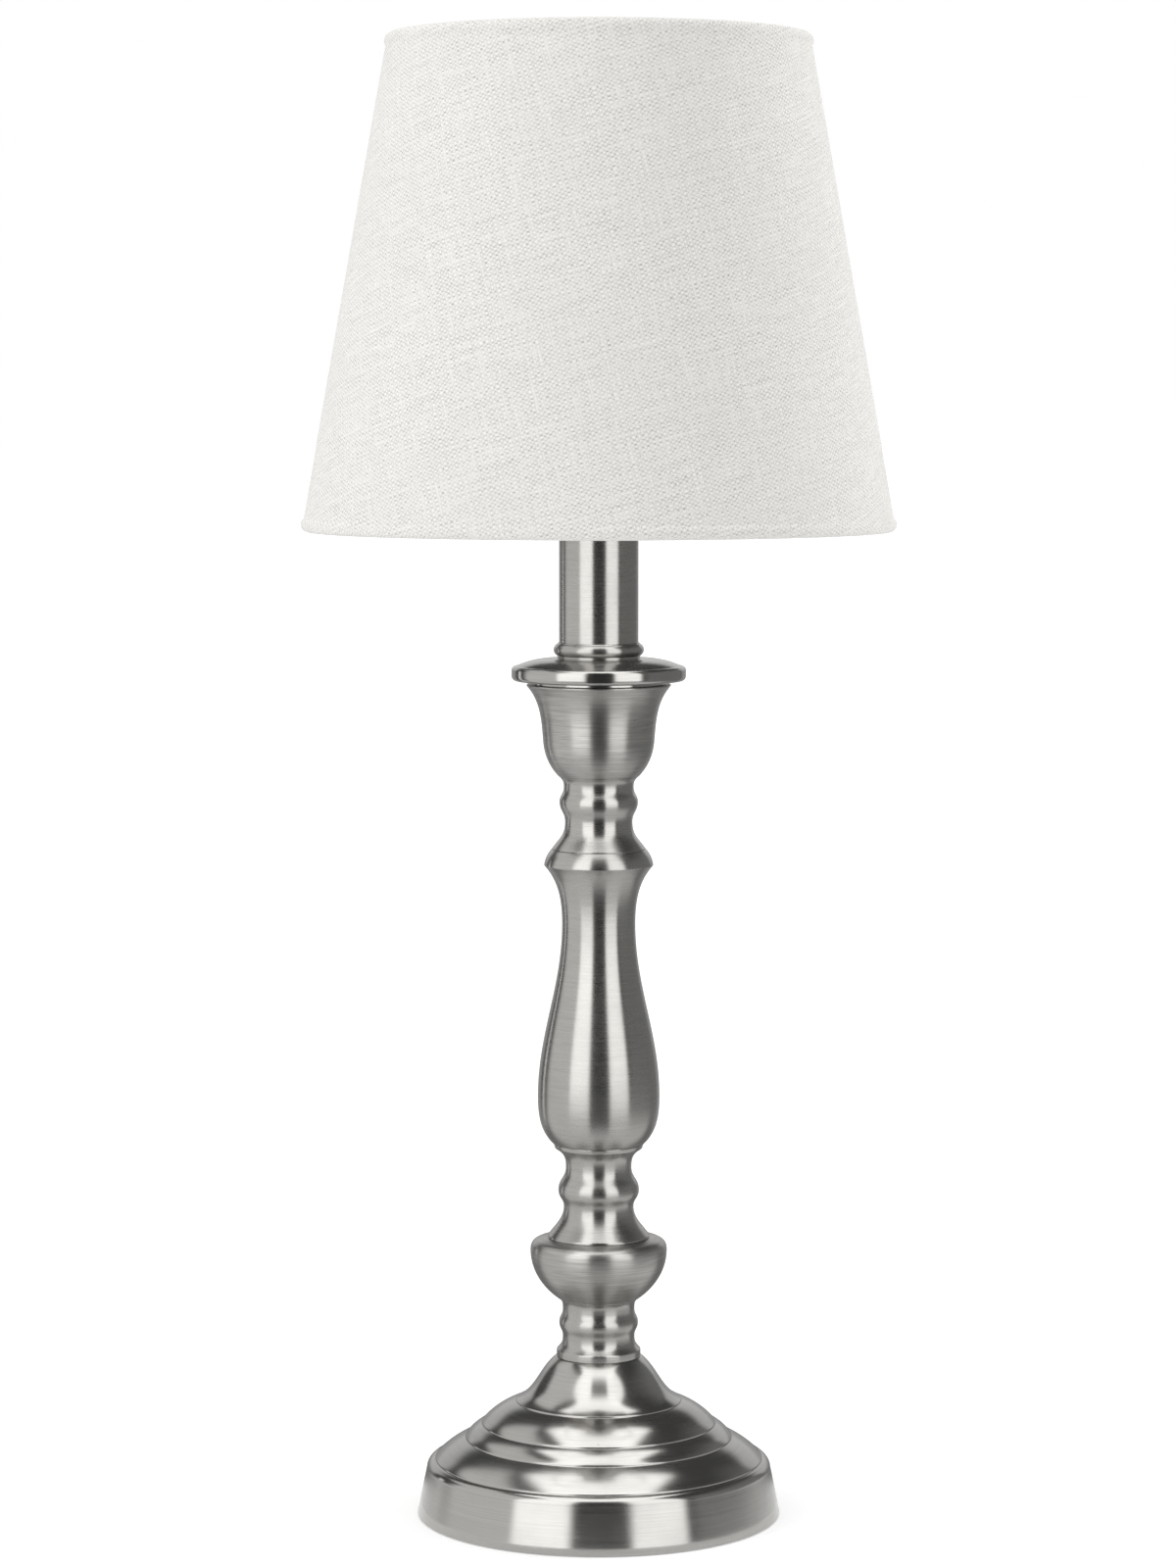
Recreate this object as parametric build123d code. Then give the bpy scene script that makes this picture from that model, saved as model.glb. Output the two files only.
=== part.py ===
from build123d import *
import math
import os

# Candlestick table lamp: stepped round base, turned stem, candle sleeve and a tapered drum shade.
# Millimetres. The lamp's axis is Z, the floor is Z = 0 and the cable leaves at the rear, +Y.

# Fits
slip_gap = 0.1          # radial gap of a piece pushed over or into another
rod_gap = 0.25          # radial gap between the threaded rod and what it passes through
turn_gap = 0.3          # gap between pieces that turn against each other
weld_gap = 0.05         # gap left where two pieces are welded or cemented

# How far a smooth run keeps to its end directions, as a share of its length
slack_pull = 0.36
full_pull = 0.45

# Base
base_radius = 61.5      # outside of the skirt at its lower edge
base_wall = 1.2
rim_lift = 0.4          # metal edge above the floor
skirt_height = 15.6
skirt_taper = 3.2       # radius lost from the lower edge to the top of the skirt
lip_rise = 2.9
lip_inset = 2.9         # radius lost in the rounded lip above the skirt
lip_swell = 0.8
cushion_rise = 7.2
cushion_top_radius = 45.1
cushion_swell = 0.3
step_rise = 4.8
step_top_radius = 39.6
step_swell = 0.4
shoulder_rise = 7.7
shoulder_top_radius = 28.0
shoulder_swell = 0.8
bell_rise = 15.3
bell_top_radius = 14.6
bell_foot_angle = -48   # angles are degrees from straight up, leaning outwards
bell_top_angle = -52
felt_thickness = 1.5
felt_inset = 2.2        # from the skirt's inner edge to the felt
disc_thickness = 1.5
disc_gap = 0.4
weight_gap = 2.2        # from the skirt's inner face to the iron
weight_height = 14.5
weight_step_inset = 3.0  # iron's upper step inside the step ring of the dome
weight_step_drop = 1.2  # iron's upper step below the cushion's top
weight_hub_radius = 12.0
recess_radius = 12.0    # room for the nut under the iron
recess_depth = 8.0
channel_width = 14.0    # cable channel through the iron, to the rear

# Cable outlet
outlet_height = 9.4
outlet_bore_radius = 3.1
outlet_barrel_radius = 4.4
outlet_flange_radius = 6.0
outlet_lip_radius = 5.5
outlet_stand = 2.6      # flange face beyond the skirt at the outlet's height
outlet_depth = 5.5      # barrel end behind the skirt's outer face at the outlet's height

# Rod and what is screwed on it
rod_radius = 5.0
rod_bore_radius = 3.6
rod_below_nut = 0.5
rod_below_boss = 1.0    # rod's upper end below the top of the lampholder's boss
nut_across_flats = 17.0
nut_height = 5.0
washer_radius = 10.5
washer_thickness = 1.5

# Stem, from the base upwards: each piece has its height and its radii
spigot_radius = 8.0
spigot_length = 2.0
spigot_end_gap = 0.3
foot_height = 20.0
foot_radius = 14.2
foot_land = 2.5
foot_lower_neck_radius = 12.15
foot_lower_neck_at = 7.0
foot_bead_radius = 13.35
foot_bead_at = 11.7
foot_upper_neck_radius = 12.15
foot_upper_neck_at = 16.1
foot_top_radius = 13.4
foot_flare_angle = -45
foot_top_angle = 45
knop_height = 20.7
knop_bottom_radius = 13.6
knop_radius = 23.1
knop_widest_at = 16.6
knop_shoulder_radius = 20.2
knop_shoulder_drop = 0.5
knop_bowl_angle = 55
knop_shoulder_angle = -81
lower_neck_height = 32.1
lower_neck_foot_radius = 17.2
lower_neck_foot_land = 0.8
lower_neck_cove_radius = 11.8
lower_neck_cove_at = 10.6
lower_neck_bead_radius = 13.65
lower_neck_bead_at = 16.2
lower_neck_throat_radius = 11.1
lower_neck_throat_at = 24.0
lower_neck_lip_radius = 14.9
lower_neck_lip_height = 1.5
lower_neck_flare_angle = -37
lower_neck_lip_angle = 63
baluster_height = 99.9
baluster_bottom_radius = 15.3
baluster_belly_radius = 20.55
baluster_belly_at = 16.0
baluster_waist_radius = 12.35
baluster_waist_at = 74.6
baluster_collar_radius = 18.35
baluster_collar_at = 94.4
baluster_collar_land = 0.4
baluster_top_radius = 15.9
baluster_collar_swell = 0.4
baluster_bottom_angle = 48
baluster_collar_angle = 42
upper_neck_height = 24.4
upper_neck_foot_radius = 15.9
upper_neck_cove_radius = 11.35
upper_neck_cove_at = 9.2
upper_neck_bead_radius = 13.2
upper_neck_bead_at = 15.9
upper_neck_throat_radius = 12.0
upper_neck_throat_at = 21.6
upper_neck_top_radius = 12.8
upper_neck_flare_angle = -35
upper_neck_top_angle = 31
cup_height = 31.0
cup_bottom_radius = 12.9
cup_body_radius = 18.7
cup_body_at = 12.0
cup_lip_radius = 24.2
cup_lip_land = 0.5
cup_bottom_angle = 42
cup_body_angle = 4.6
cup_lip_angle = 42
cup_wall = 2.4
cup_floor = 9.0
pan_radius = 29.25
pan_rim_lift = 1.2      # underside of the rim above the pan's seat
pan_rim_height = 5.0
pan_rim_turn = 1.8      # rounding under the rim
pan_rim_edge = 1.6      # rounding at the rim's top
pan_gap_height = 1.0    # shadow gap between the cup's lip and the rim
pan_gap_depth = 1.8
pan_rise = 2.4          # from the rim's top to the hub's top
pan_swell = 0.8
pan_hub_radius = 15.2
pan_plate = 2.4
pan_spigot_drop = 1.5   # the pan's ring inside the cup's mouth
pan_spigot_wall = 2.0

# Candle sleeve and its collar
sleeve_radius = 13.3
sleeve_wall = 1.0
sleeve_height = 59.2
collar_height = 5.4
collar_foot = 1.0
collar_bead_radius = 15.15
collar_bead_height = 4.1
collar_wall = 0.5
collar_top_wall = 0.3

# Lampholder for a small screw cap
holder_wall = 1.6
cap_height = 21.0
cap_floor = 3.0
cap_boss_height = 11.0
cap_boss_radius = 8.0
core_flange = 3.0
core_plug = 6.0
core_floor_rise = 2.0
core_wall = 1.9
socket_depth = 22.0
shell_wall = 0.4
shell_drop = 1.0        # top of the screw shell below the core's rim
shell_lip = 1.6
contact_width = 5.0
contact_thickness = 0.5
contact_rise = 3.0
contact_foot_at = 4.4
contact_reach = 2.2
screw_head_radius = 2.3
screw_head_height = 1.8
screw_shank_radius = 1.5
screw_spacing = 12.0
screw_end_gap = 1.0
skirt_thread_radius = 14.0
skirt_flange_radius = 17.0
skirt_flange_height = 3.0
skirt_lip_height = 2.0
skirt_lip_radius = 9.2
ring_radius = 18.0
ring_height = 7.0
ring_rib_radius = 0.9
ring_rib_count = 16

# Shade
shade_bottom_radius = 99.2  # cone of the linen's outside, carried on to the lower edge
shade_top_radius = 69.9
shade_height = 164.2
shade_drop = 19.3       # lower edge of the shade below the fitter ring's seat
cover_thickness = 0.7
lining_thickness = 0.4
lining_gap = 0.2        # film of adhesive between the linen and its lining
lining_inset = 7.0      # lining's edges from the shade's edges, along the slope
wire_radius = 1.6
hem_gap = 0.15          # round the wire inside its hem
hem_proud = 0.7         # hem beyond the cone's outside
hem_slit = 0.3
hem_slit_end = 6.0      # from the shade's edge to the end of the slit past the roll
fitter_radius = 21.0
fitter_thickness = 2.0
fitter_gap = 0.5
arm_radius = 1.5
arm_count = 3
arm_gap = 0.5           # from the fitter ring's rim to the arm's end

# Bulb
bulb_cap_radius = 6.85
bulb_cap_height = 17.0
bulb_cap_wall = 0.4
bulb_cap_lip = 1.4      # rim under the glass, inwards from the cap's outside
bulb_tip_radius = 2.4
bulb_tip_height = 1.0
bulb_insulator_height = 3.0
bulb_insulator_foot = 3.2
bulb_neck_radius = 7.6
bulb_neck_height = 3.0
bulb_radius = 22.5
bulb_widest_at = 38.0
bulb_glass_wall = 0.8


standing = (Align.CENTER, Align.CENTER, Align.MIN)
hanging = (Align.CENTER, Align.CENTER, Align.MAX)


class Outline:
    """Half section of a turned piece, drawn with a pen as (radius, height) points."""

    def __init__(self, radius, height):
        self.start = (radius, height)
        self.pen = self.start
        self.edges = []

    def line(self, radius, height):
        """Straight run."""
        self.edges.append(Line(self.pen, (radius, height)))
        self.pen = (radius, height)
        return self

    def arc(self, radius, height, swell):
        """Round run: swell is its rise over the chord, outwards on a run that climbs."""
        run = Vector(radius, height) - Vector(*self.pen)
        middle = Vector(*self.pen) + run * 0.5 + Vector(run.Y, -run.X).normalized() * swell
        self.edges.append(ThreePointArc(self.pen, middle, (radius, height)))
        self.pen = (radius, height)
        return self

    def sweep(self, radius, height, leave=0, arrive=0, pull=full_pull):
        """Smooth run that leaves and arrives at angles from straight up, leaning outwards."""
        start = Vector(*self.pen)
        end = Vector(radius, height)
        handle = (end - start).length * pull
        near_start = start + Vector(0, handle).rotate(Axis.Z, -leave)
        near_end = end - Vector(0, handle).rotate(Axis.Z, -arrive)
        self.edges.append(Bezier(start, near_start, near_end, end))
        self.pen = (radius, height)
        return self

    def turned(self, level=0):
        """The closed section turned about the lamp's axis, its zero height at the given level."""
        self.line(*self.start)
        section = make_face(self.edges)
        return Pos(0, 0, level) * revolve(Plane.XZ * section, Axis.Z)


def tube(outer, inner, bottom, top):
    """Plain round tube on the lamp's axis."""
    return Outline(inner, bottom).line(outer, bottom).line(outer, top).line(inner, top).turned()


def drum(radius, bottom, top):
    """Plain round bar on the lamp's axis."""
    return Outline(0, bottom).line(radius, bottom).line(radius, top).line(0, top).turned()


def bar(start, end, radius):
    """Plain round bar between two points."""
    path = Vector(*end) - Vector(*start)
    return extrude(Plane(Vector(*start), z_dir=path) * Circle(radius), path.length)


def hex_nut(bottom):
    """Hexagon nut on the threaded rod."""
    hexagon = RegularPolygon(nut_across_flats / 2, 6, major_radius=False) - Circle(rod_radius + slip_gap)
    nut = extrude(hexagon, nut_height)
    crown = nut_across_flats / 2
    corner = crown / math.cos(math.pi / 6)
    bevel = (corner - crown) * math.tan(math.pi / 6)
    cone = Outline(0, 0).line(crown, 0).line(corner, bevel).line(corner, nut_height - bevel)
    cone = cone.line(crown, nut_height).line(0, nut_height)
    return Pos(0, 0, bottom) * (nut & cone.turned())


def washer(bottom):
    """Flat washer on the threaded rod."""
    return tube(washer_radius, rod_bore, bottom, bottom + washer_thickness)


def spigot(bottom):
    """Short ring under a stem piece that centres it in the piece below."""
    return tube(spigot_radius, rod_bore, bottom - spigot_length, bottom)


def socket(top):
    """Recess in the top of a stem piece for the spigot of the piece above."""
    return drum(spigot_radius + slip_gap, top - spigot_length - spigot_end_gap, top)


# Levels, from the floor up
rod_bore = rod_radius + rod_gap
cup_mouth_radius = cup_body_radius - cup_wall
skirt_top_radius = base_radius - skirt_taper
disc_level = felt_thickness
weight_level = disc_level + disc_thickness
skirt_top = rim_lift + skirt_height
lip_top = skirt_top + lip_rise
cushion_top = lip_top + cushion_rise
step_top = cushion_top + step_rise
shoulder_top = step_top + shoulder_rise
foot_level = shoulder_top + bell_rise
knop_level = foot_level + foot_height
lower_neck_level = knop_level + knop_height
baluster_level = lower_neck_level + lower_neck_height
upper_neck_level = baluster_level + baluster_height
cup_level = upper_neck_level + upper_neck_height
pan_level = cup_level + cup_height
sleeve_level = pan_level + pan_rim_lift + pan_rim_height + pan_rise
holder_level = sleeve_level + sleeve_height
core_floor = holder_level + core_floor_rise
core_rim = core_floor + socket_depth
cap_top = holder_level - core_flange
cap_level = cap_top - cap_height
fitter_level = holder_level + skirt_flange_height
ring_level = fitter_level + fitter_thickness
tip_level = core_floor + contact_rise
insulator_level = tip_level + bulb_tip_height
bulb_cap_level = insulator_level + bulb_insulator_height
glass_level = bulb_cap_level + bulb_cap_height
shade_level = fitter_level - shade_drop


def skirt_radius(height):
    """Outside radius of the sloped skirt at a height above the floor."""
    return base_radius - skirt_taper * (height - rim_lift) / skirt_height


def skirt_envelope(inset):
    """Solid cone inside the skirt's outer face, drawn in by the given inset."""
    low, high = 0, skirt_top
    cone = Outline(0, low).line(skirt_radius(low) - inset, low)
    return cone.line(skirt_radius(high) - inset, high).line(0, high).turned()


# Base
def base_outline(inset):
    """Pen line up the base, from the skirt's lower edge to the seat, drawn in by the given inset."""
    lip_radius = skirt_top_radius - lip_inset
    slope = Vector(shoulder_top - lip_top, lip_radius - shoulder_top_radius).normalized() * inset
    side = Outline(base_radius - inset, rim_lift).line(skirt_top_radius - inset, skirt_top)
    side.arc(lip_radius - slope.X, lip_top - slope.Y, lip_swell)
    side.arc(cushion_top_radius - slope.X, cushion_top - slope.Y, cushion_swell)
    side.arc(step_top_radius - slope.X, step_top - slope.Y, step_swell)
    side.arc(shoulder_top_radius - slope.X, shoulder_top - slope.Y, shoulder_swell)
    side.sweep(bell_top_radius - slope.X, foot_level - inset, bell_foot_angle, bell_top_angle, slack_pull)
    return side.line(rod_bore, foot_level - inset)


def make_base_shell():
    """Spun metal shell: sloped skirt, rounded lip, three swelling rings and a bell up to the seat."""
    outside = base_outline(0)
    inside = base_outline(base_wall)
    joins = [Line(outside.start, inside.start), Line(outside.pen, inside.pen)]
    section = make_face(outside.edges + inside.edges + joins)
    shell = revolve(Plane.XZ * section, Axis.Z)
    return shell - rear_bar(outlet_barrel_radius + slip_gap, 0, base_radius)


def rear_bar(radius, near, far):
    """Round bar along the cable outlet, between two distances behind the lamp's axis."""
    return bar((0, near, outlet_height), (0, far, outlet_height), radius)


def make_base_weight():
    """Iron ballast: stepped disc and hub under the seat, with a nut recess and a cable channel."""
    radius = skirt_radius(weight_level + weight_height) - base_wall - weight_gap
    ceiling = weight_level + recess_depth
    section = Outline(rod_bore, ceiling).line(recess_radius, ceiling).line(recess_radius, weight_level)
    section.line(radius, weight_level).line(radius, weight_level + weight_height)
    section.line(step_top_radius - weight_step_inset, weight_level + weight_height)
    section.line(step_top_radius - weight_step_inset, cushion_top - base_wall - weight_step_drop)
    section.line(weight_hub_radius, cushion_top - base_wall - weight_step_drop)
    section.line(weight_hub_radius, foot_level - base_wall).line(rod_bore, foot_level - base_wall)
    channel_height = outlet_height + outlet_lip_radius + turn_gap - weight_level
    channel = Box(channel_width, base_radius, channel_height, align=(Align.CENTER, Align.MIN, Align.MIN))
    return section.turned() - Pos(0, 0, weight_level) * channel


def make_cable_bush():
    """Moulded grommet: flange seated on the skirt, barrel through it and a lip behind it."""
    skirt_face = skirt_radius(outlet_height)
    front = skirt_face + outlet_stand
    back = skirt_face - outlet_depth
    flange = rear_bar(outlet_flange_radius, back, front) - skirt_envelope(-weld_gap)
    lip = rear_bar(outlet_lip_radius, back, front) & skirt_envelope(base_wall + slip_gap)
    barrel = rear_bar(outlet_barrel_radius, back, front)
    return flange + lip + barrel - rear_bar(outlet_bore_radius, back, front)


# Stem
def make_foot_collar():
    """Lowest stem piece: short land on the base, two coves and a bead."""
    side = Outline(rod_bore, 0).line(foot_radius, 0).line(foot_radius, foot_land)
    side.sweep(foot_lower_neck_radius, foot_lower_neck_at, leave=foot_flare_angle)
    side.sweep(foot_bead_radius, foot_bead_at).sweep(foot_upper_neck_radius, foot_upper_neck_at)
    side.sweep(foot_top_radius, foot_height, arrive=foot_top_angle).line(rod_bore, foot_height)
    return side.turned(foot_level) - socket(knop_level)


def make_knop_bowl():
    """Bowl-shaped knop, widest near its top, with a rounded shoulder."""
    shoulder = knop_height - knop_shoulder_drop
    side = Outline(rod_bore, 0).line(knop_bottom_radius, 0)
    side.sweep(knop_radius, knop_widest_at, leave=knop_bowl_angle, pull=slack_pull)
    side.sweep(knop_shoulder_radius, shoulder, arrive=knop_shoulder_angle)
    side.line(lower_neck_foot_radius, knop_height).line(rod_bore, knop_height)
    return side.turned(knop_level) + spigot(knop_level) - socket(lower_neck_level)


def make_lower_neck():
    """Flared foot, cove, sharp bead and a throat that opens to the lip under the baluster."""
    lip_foot = lower_neck_height - lower_neck_lip_height
    side = Outline(rod_bore, 0).line(lower_neck_foot_radius, 0)
    side.line(lower_neck_foot_radius, lower_neck_foot_land)
    side.sweep(lower_neck_cove_radius, lower_neck_cove_at, leave=lower_neck_flare_angle, pull=slack_pull)
    side.sweep(lower_neck_bead_radius, lower_neck_bead_at)
    side.sweep(lower_neck_throat_radius, lower_neck_throat_at)
    side.sweep(lower_neck_lip_radius, lip_foot, arrive=lower_neck_lip_angle)
    side.line(lower_neck_lip_radius, lower_neck_height).line(rod_bore, lower_neck_height)
    return side.turned(lower_neck_level) + spigot(lower_neck_level) - socket(baluster_level)


def make_baluster():
    """Long vase: full belly low down, slim waist and a sharp collar at the top."""
    land_top = baluster_collar_at + baluster_collar_land
    side = Outline(rod_bore, 0).line(baluster_bottom_radius, 0)
    side.sweep(baluster_belly_radius, baluster_belly_at, leave=baluster_bottom_angle, pull=slack_pull)
    side.sweep(baluster_waist_radius, baluster_waist_at, pull=slack_pull)
    side.sweep(baluster_collar_radius, baluster_collar_at, arrive=baluster_collar_angle, pull=slack_pull)
    side.line(baluster_collar_radius, land_top)
    side.arc(baluster_top_radius, baluster_height, baluster_collar_swell).line(rod_bore, baluster_height)
    return side.turned(baluster_level) + spigot(baluster_level) - socket(upper_neck_level)


def make_upper_neck():
    """Flared foot on the baluster's collar, cove, bead and throat."""
    side = Outline(rod_bore, 0).line(upper_neck_foot_radius, 0)
    side.sweep(upper_neck_cove_radius, upper_neck_cove_at, leave=upper_neck_flare_angle)
    side.sweep(upper_neck_bead_radius, upper_neck_bead_at)
    side.sweep(upper_neck_throat_radius, upper_neck_throat_at)
    side.sweep(upper_neck_top_radius, upper_neck_height, arrive=upper_neck_top_angle)
    side.line(rod_bore, upper_neck_height)
    return side.turned(upper_neck_level) + spigot(upper_neck_level) - socket(cup_level)


def make_candle_cup():
    """Hollow cup: rounded underside, straight body and a flared lip."""
    lip_foot = cup_height - cup_lip_land
    side = Outline(rod_bore, 0).line(cup_bottom_radius, 0)
    side.sweep(cup_body_radius, cup_body_at, cup_bottom_angle, cup_body_angle, slack_pull)
    side.sweep(cup_lip_radius, lip_foot, cup_body_angle, cup_lip_angle, slack_pull)
    side.line(cup_lip_radius, cup_height).line(cup_mouth_radius, cup_height)
    side.line(cup_mouth_radius, cup_floor).line(rod_bore, cup_floor)
    return side.turned(cup_level) + spigot(cup_level)


def make_drip_pan():
    """Wide disc with a deep round rim over a shadow gap, a gently domed top and a ring that centres it in the cup."""
    rim_foot = pan_rim_lift
    rim_top = pan_rim_lift + pan_rim_height
    hub_top = rim_top + pan_rise
    ring = cup_mouth_radius - slip_gap
    side = Outline(rod_bore, hub_top - pan_plate).line(ring - pan_spigot_wall, hub_top - pan_plate)
    side.line(ring - pan_spigot_wall, -pan_spigot_drop).line(ring, -pan_spigot_drop).line(ring, 0)
    seat = cup_lip_radius - pan_gap_depth
    side.line(seat, 0).line(seat, pan_gap_height).line(pan_radius - pan_rim_turn, rim_foot)
    side.sweep(pan_radius, rim_foot + pan_rim_turn, leave=90).line(pan_radius, rim_top - pan_rim_edge)
    side.sweep(pan_radius - pan_rim_edge, rim_top, arrive=-90)
    side.arc(pan_hub_radius, hub_top, pan_swell).line(rod_bore, hub_top)
    return side.turned(pan_level)


def make_sleeve_collar():
    """Beaded ring round the foot of the candle sleeve."""
    inner = sleeve_radius + slip_gap
    outer = inner + collar_wall
    bead_top = collar_foot + collar_bead_height
    side = Outline(inner, 0).line(outer, 0).line(outer, collar_foot)
    side.arc(outer, bead_top, collar_bead_radius - outer)
    side.line(inner + collar_top_wall, collar_height).line(inner, collar_height)
    return side.turned(sleeve_level)


def make_candle_sleeve():
    """Plain tube that stands on the pan and carries the lampholder."""
    return tube(sleeve_radius, sleeve_radius - sleeve_wall, sleeve_level, holder_level)


# Rod
rod_bottom = weight_level + recess_depth - washer_thickness - nut_height - rod_below_nut
rod_top = cap_level + cap_boss_height - rod_below_boss


def make_threaded_rod():
    """Hollow rod through the whole stem, from the ballast to the lampholder."""
    return tube(rod_radius, rod_bore_radius, rod_bottom, rod_top)


# Lampholder
holder_radius = sleeve_radius - sleeve_wall - turn_gap
shell_bore_radius = bulb_cap_radius + turn_gap
shell_radius = shell_bore_radius + shell_wall
core_radius = shell_radius + slip_gap + core_wall


def make_holder_cap():
    """Lower cup of the lampholder, screwed to the rod by its boss."""
    side = Outline(rod_radius + slip_gap, 0).line(holder_radius, 0).line(holder_radius, cap_height)
    side.line(holder_radius - holder_wall, cap_height).line(holder_radius - holder_wall, cap_floor)
    side.line(cap_boss_radius, cap_floor).line(cap_boss_radius, cap_boss_height)
    side.line(rod_radius + slip_gap, cap_boss_height)
    return side.turned(cap_level)


def screw_places():
    """The two terminal screws, one each side of the axis."""
    return [Pos(side * screw_spacing / 2, 0, cap_top - core_plug) for side in (-1, 1)]


def make_holder_core():
    """Insulating core: plug in the cap, flange on its rim and a tube round the screw shell."""
    plug = holder_radius - holder_wall - slip_gap
    side = Outline(0, cap_top - core_plug).line(plug, cap_top - core_plug).line(plug, cap_top)
    side.line(holder_radius, cap_top).line(holder_radius, holder_level).line(core_radius, holder_level)
    side.line(core_radius, core_rim).line(shell_radius + slip_gap, core_rim)
    side.line(shell_radius + slip_gap, core_floor).line(0, core_floor)
    hole = Cylinder(screw_shank_radius + slip_gap, core_plug, align=standing)
    core = side.turned()
    for place in screw_places():
        core = core - place * hole
    return core


def make_terminal_screws():
    """Two cheese-head screws in the core's underside."""
    head = Cylinder(screw_head_radius, screw_head_height, align=hanging)
    shank = Cylinder(screw_shank_radius, core_plug - screw_end_gap, align=standing)
    return Compound([place * (head + shank) for place in screw_places()])


def make_screw_shell():
    """Brass shell that takes the bulb's cap, with a turned-in lip on the core's floor."""
    lip = shell_bore_radius - shell_lip
    top = core_rim - shell_drop
    side = Outline(lip, core_floor).line(shell_radius, core_floor).line(shell_radius, top)
    side.line(shell_bore_radius, top).line(shell_bore_radius, core_floor + shell_wall)
    return side.line(lip, core_floor + shell_wall).turned()


def make_centre_contact():
    """Bent spring strip: foot on the core's floor, slope and a flat top under the bulb's tip."""
    half = contact_thickness / 2
    foot = core_floor + half
    top = core_floor + contact_rise - half
    bend = contact_reach / 2
    path = Polyline((-contact_foot_at, foot), (-contact_reach, foot), (-bend, top), (contact_reach, top))
    strip = make_face(offset(path, half, kind=Kind.INTERSECTION, side=Side.BOTH).edges())
    return extrude(Plane.YZ * strip, contact_width / 2, both=True)


def make_holder_skirt():
    """Outer shell of the lampholder: seat flange for the shade and a threaded barrel, plain here."""
    bore = core_radius + turn_gap
    lip_foot = core_rim + turn_gap
    top = lip_foot + skirt_lip_height
    flange_top = holder_level + skirt_flange_height
    side = Outline(bore, holder_level).line(skirt_flange_radius, holder_level)
    side.line(skirt_flange_radius, flange_top).line(skirt_thread_radius, flange_top)
    side.line(skirt_thread_radius, top).line(skirt_lip_radius, top).line(skirt_lip_radius, lip_foot)
    return side.line(bore, lip_foot).turned()


def make_clamp_ring():
    """Ribbed ring, screwed down on the skirt to hold the shade's fitter ring."""
    ring = tube(ring_radius, skirt_thread_radius + turn_gap, ring_level, ring_level + ring_height)
    rib = Cylinder(ring_rib_radius, ring_height, align=standing)
    for spot in PolarLocations(ring_radius, ring_rib_count):
        ring = ring + Pos(0, 0, ring_level) * spot * rib
    return ring


# Shade
shade_slope = math.atan2(shade_bottom_radius - shade_top_radius, shade_height)
slope_length = shade_height / math.cos(shade_slope)
hem_radius = wire_radius + hem_gap + cover_thickness
wire_depth = hem_radius - hem_proud


def on_slope(along, depth):
    """Point of the shade's section: distance up the slope and depth under its outside."""
    rise = along * math.cos(shade_slope) - depth * math.sin(shade_slope)
    radius = shade_bottom_radius - along * math.sin(shade_slope) - depth * math.cos(shade_slope)
    return radius, shade_level + rise


def slope_sheet(low, high, depth, thickness):
    """Section of a sheet that follows the slope."""
    corners = [(low, depth), (high, depth), (high, depth + thickness), (low, depth + thickness)]
    return make_face(Polyline(*[on_slope(*corner) for corner in corners], close=True))


lower_wire_at = on_slope(hem_radius, wire_depth)
upper_wire_at = on_slope(slope_length - hem_radius, wire_depth)


def wire_ring(centre):
    """Round wire bent into a ring about the lamp's axis."""
    radius, height = centre
    return revolve(Plane.XZ * (Pos(radius, height) * Circle(wire_radius)), Axis.Z)


def make_shade_cover():
    """Linen cone rolled over a wire ring at each edge, with a slit in each roll and room for the arms."""
    section = slope_sheet(hem_radius, slope_length - hem_radius, 0, cover_thickness)
    for centre in (lower_wire_at, upper_wire_at):
        section = section + Pos(*centre) * Circle(hem_radius)
    for centre in (lower_wire_at, upper_wire_at):
        section = section - Pos(*centre) * Circle(wire_radius + hem_gap)
    section = section - slope_sheet(hem_radius, hem_slit_end, cover_thickness, hem_slit)
    slit_foot = slope_length - hem_slit_end
    section = section - slope_sheet(slit_foot, slope_length - hem_radius, cover_thickness, hem_slit)
    cover = revolve(Plane.XZ * section, Axis.Z)
    for arm in arms(arm_radius + turn_gap, lower_wire_at[0]):
        cover = cover - arm
    return cover


def make_shade_lining():
    """Stiff lining cemented inside the linen, between the hems."""
    depth = cover_thickness + lining_gap
    section = slope_sheet(lining_inset, slope_length - lining_inset, depth, lining_thickness)
    return revolve(Plane.XZ * section, Axis.Z)


def make_fitter_ring():
    """Flat ring of the shade's frame, clamped on the lampholder."""
    return tube(fitter_radius, skirt_thread_radius + fitter_gap, fitter_level, ring_level)


def arms(radius, reach):
    """Round bars from the fitter ring out and down towards the lower wire."""
    inner = Vector(0, fitter_radius + arm_gap, fitter_level + fitter_thickness / 2)
    wire = Vector(0, *lower_wire_at)
    outer = inner + (wire - inner) * ((reach - inner.Y) / (wire.Y - inner.Y))
    arm = bar(inner, outer, radius)
    return [Rot(0, 0, 360 / arm_count * number) * arm for number in range(arm_count)]


def make_spider_arms():
    """Wire arms of the shade's frame, welded between the fitter ring and the lower wire."""
    return Compound(arms(arm_radius, lower_wire_at[0] - wire_radius - slip_gap))


# Bulb
def make_bulb_glass():
    """Opal globe with a short neck, open at the cap."""
    widest = glass_level + bulb_widest_at
    neck_top = glass_level + bulb_neck_height
    wall = bulb_glass_wall
    top = widest + bulb_radius
    round_swell = 1 - math.sqrt(0.5)
    section = Outline(bulb_neck_radius - wall, glass_level).line(bulb_neck_radius, glass_level)
    section.line(bulb_neck_radius, neck_top).sweep(bulb_radius, widest)
    section.arc(0, top, round_swell * bulb_radius).line(0, top - wall)
    section.arc(bulb_radius - wall, widest, -round_swell * (bulb_radius - wall))
    section.sweep(bulb_neck_radius - wall, neck_top, 180, 180)
    return section.turned()


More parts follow.
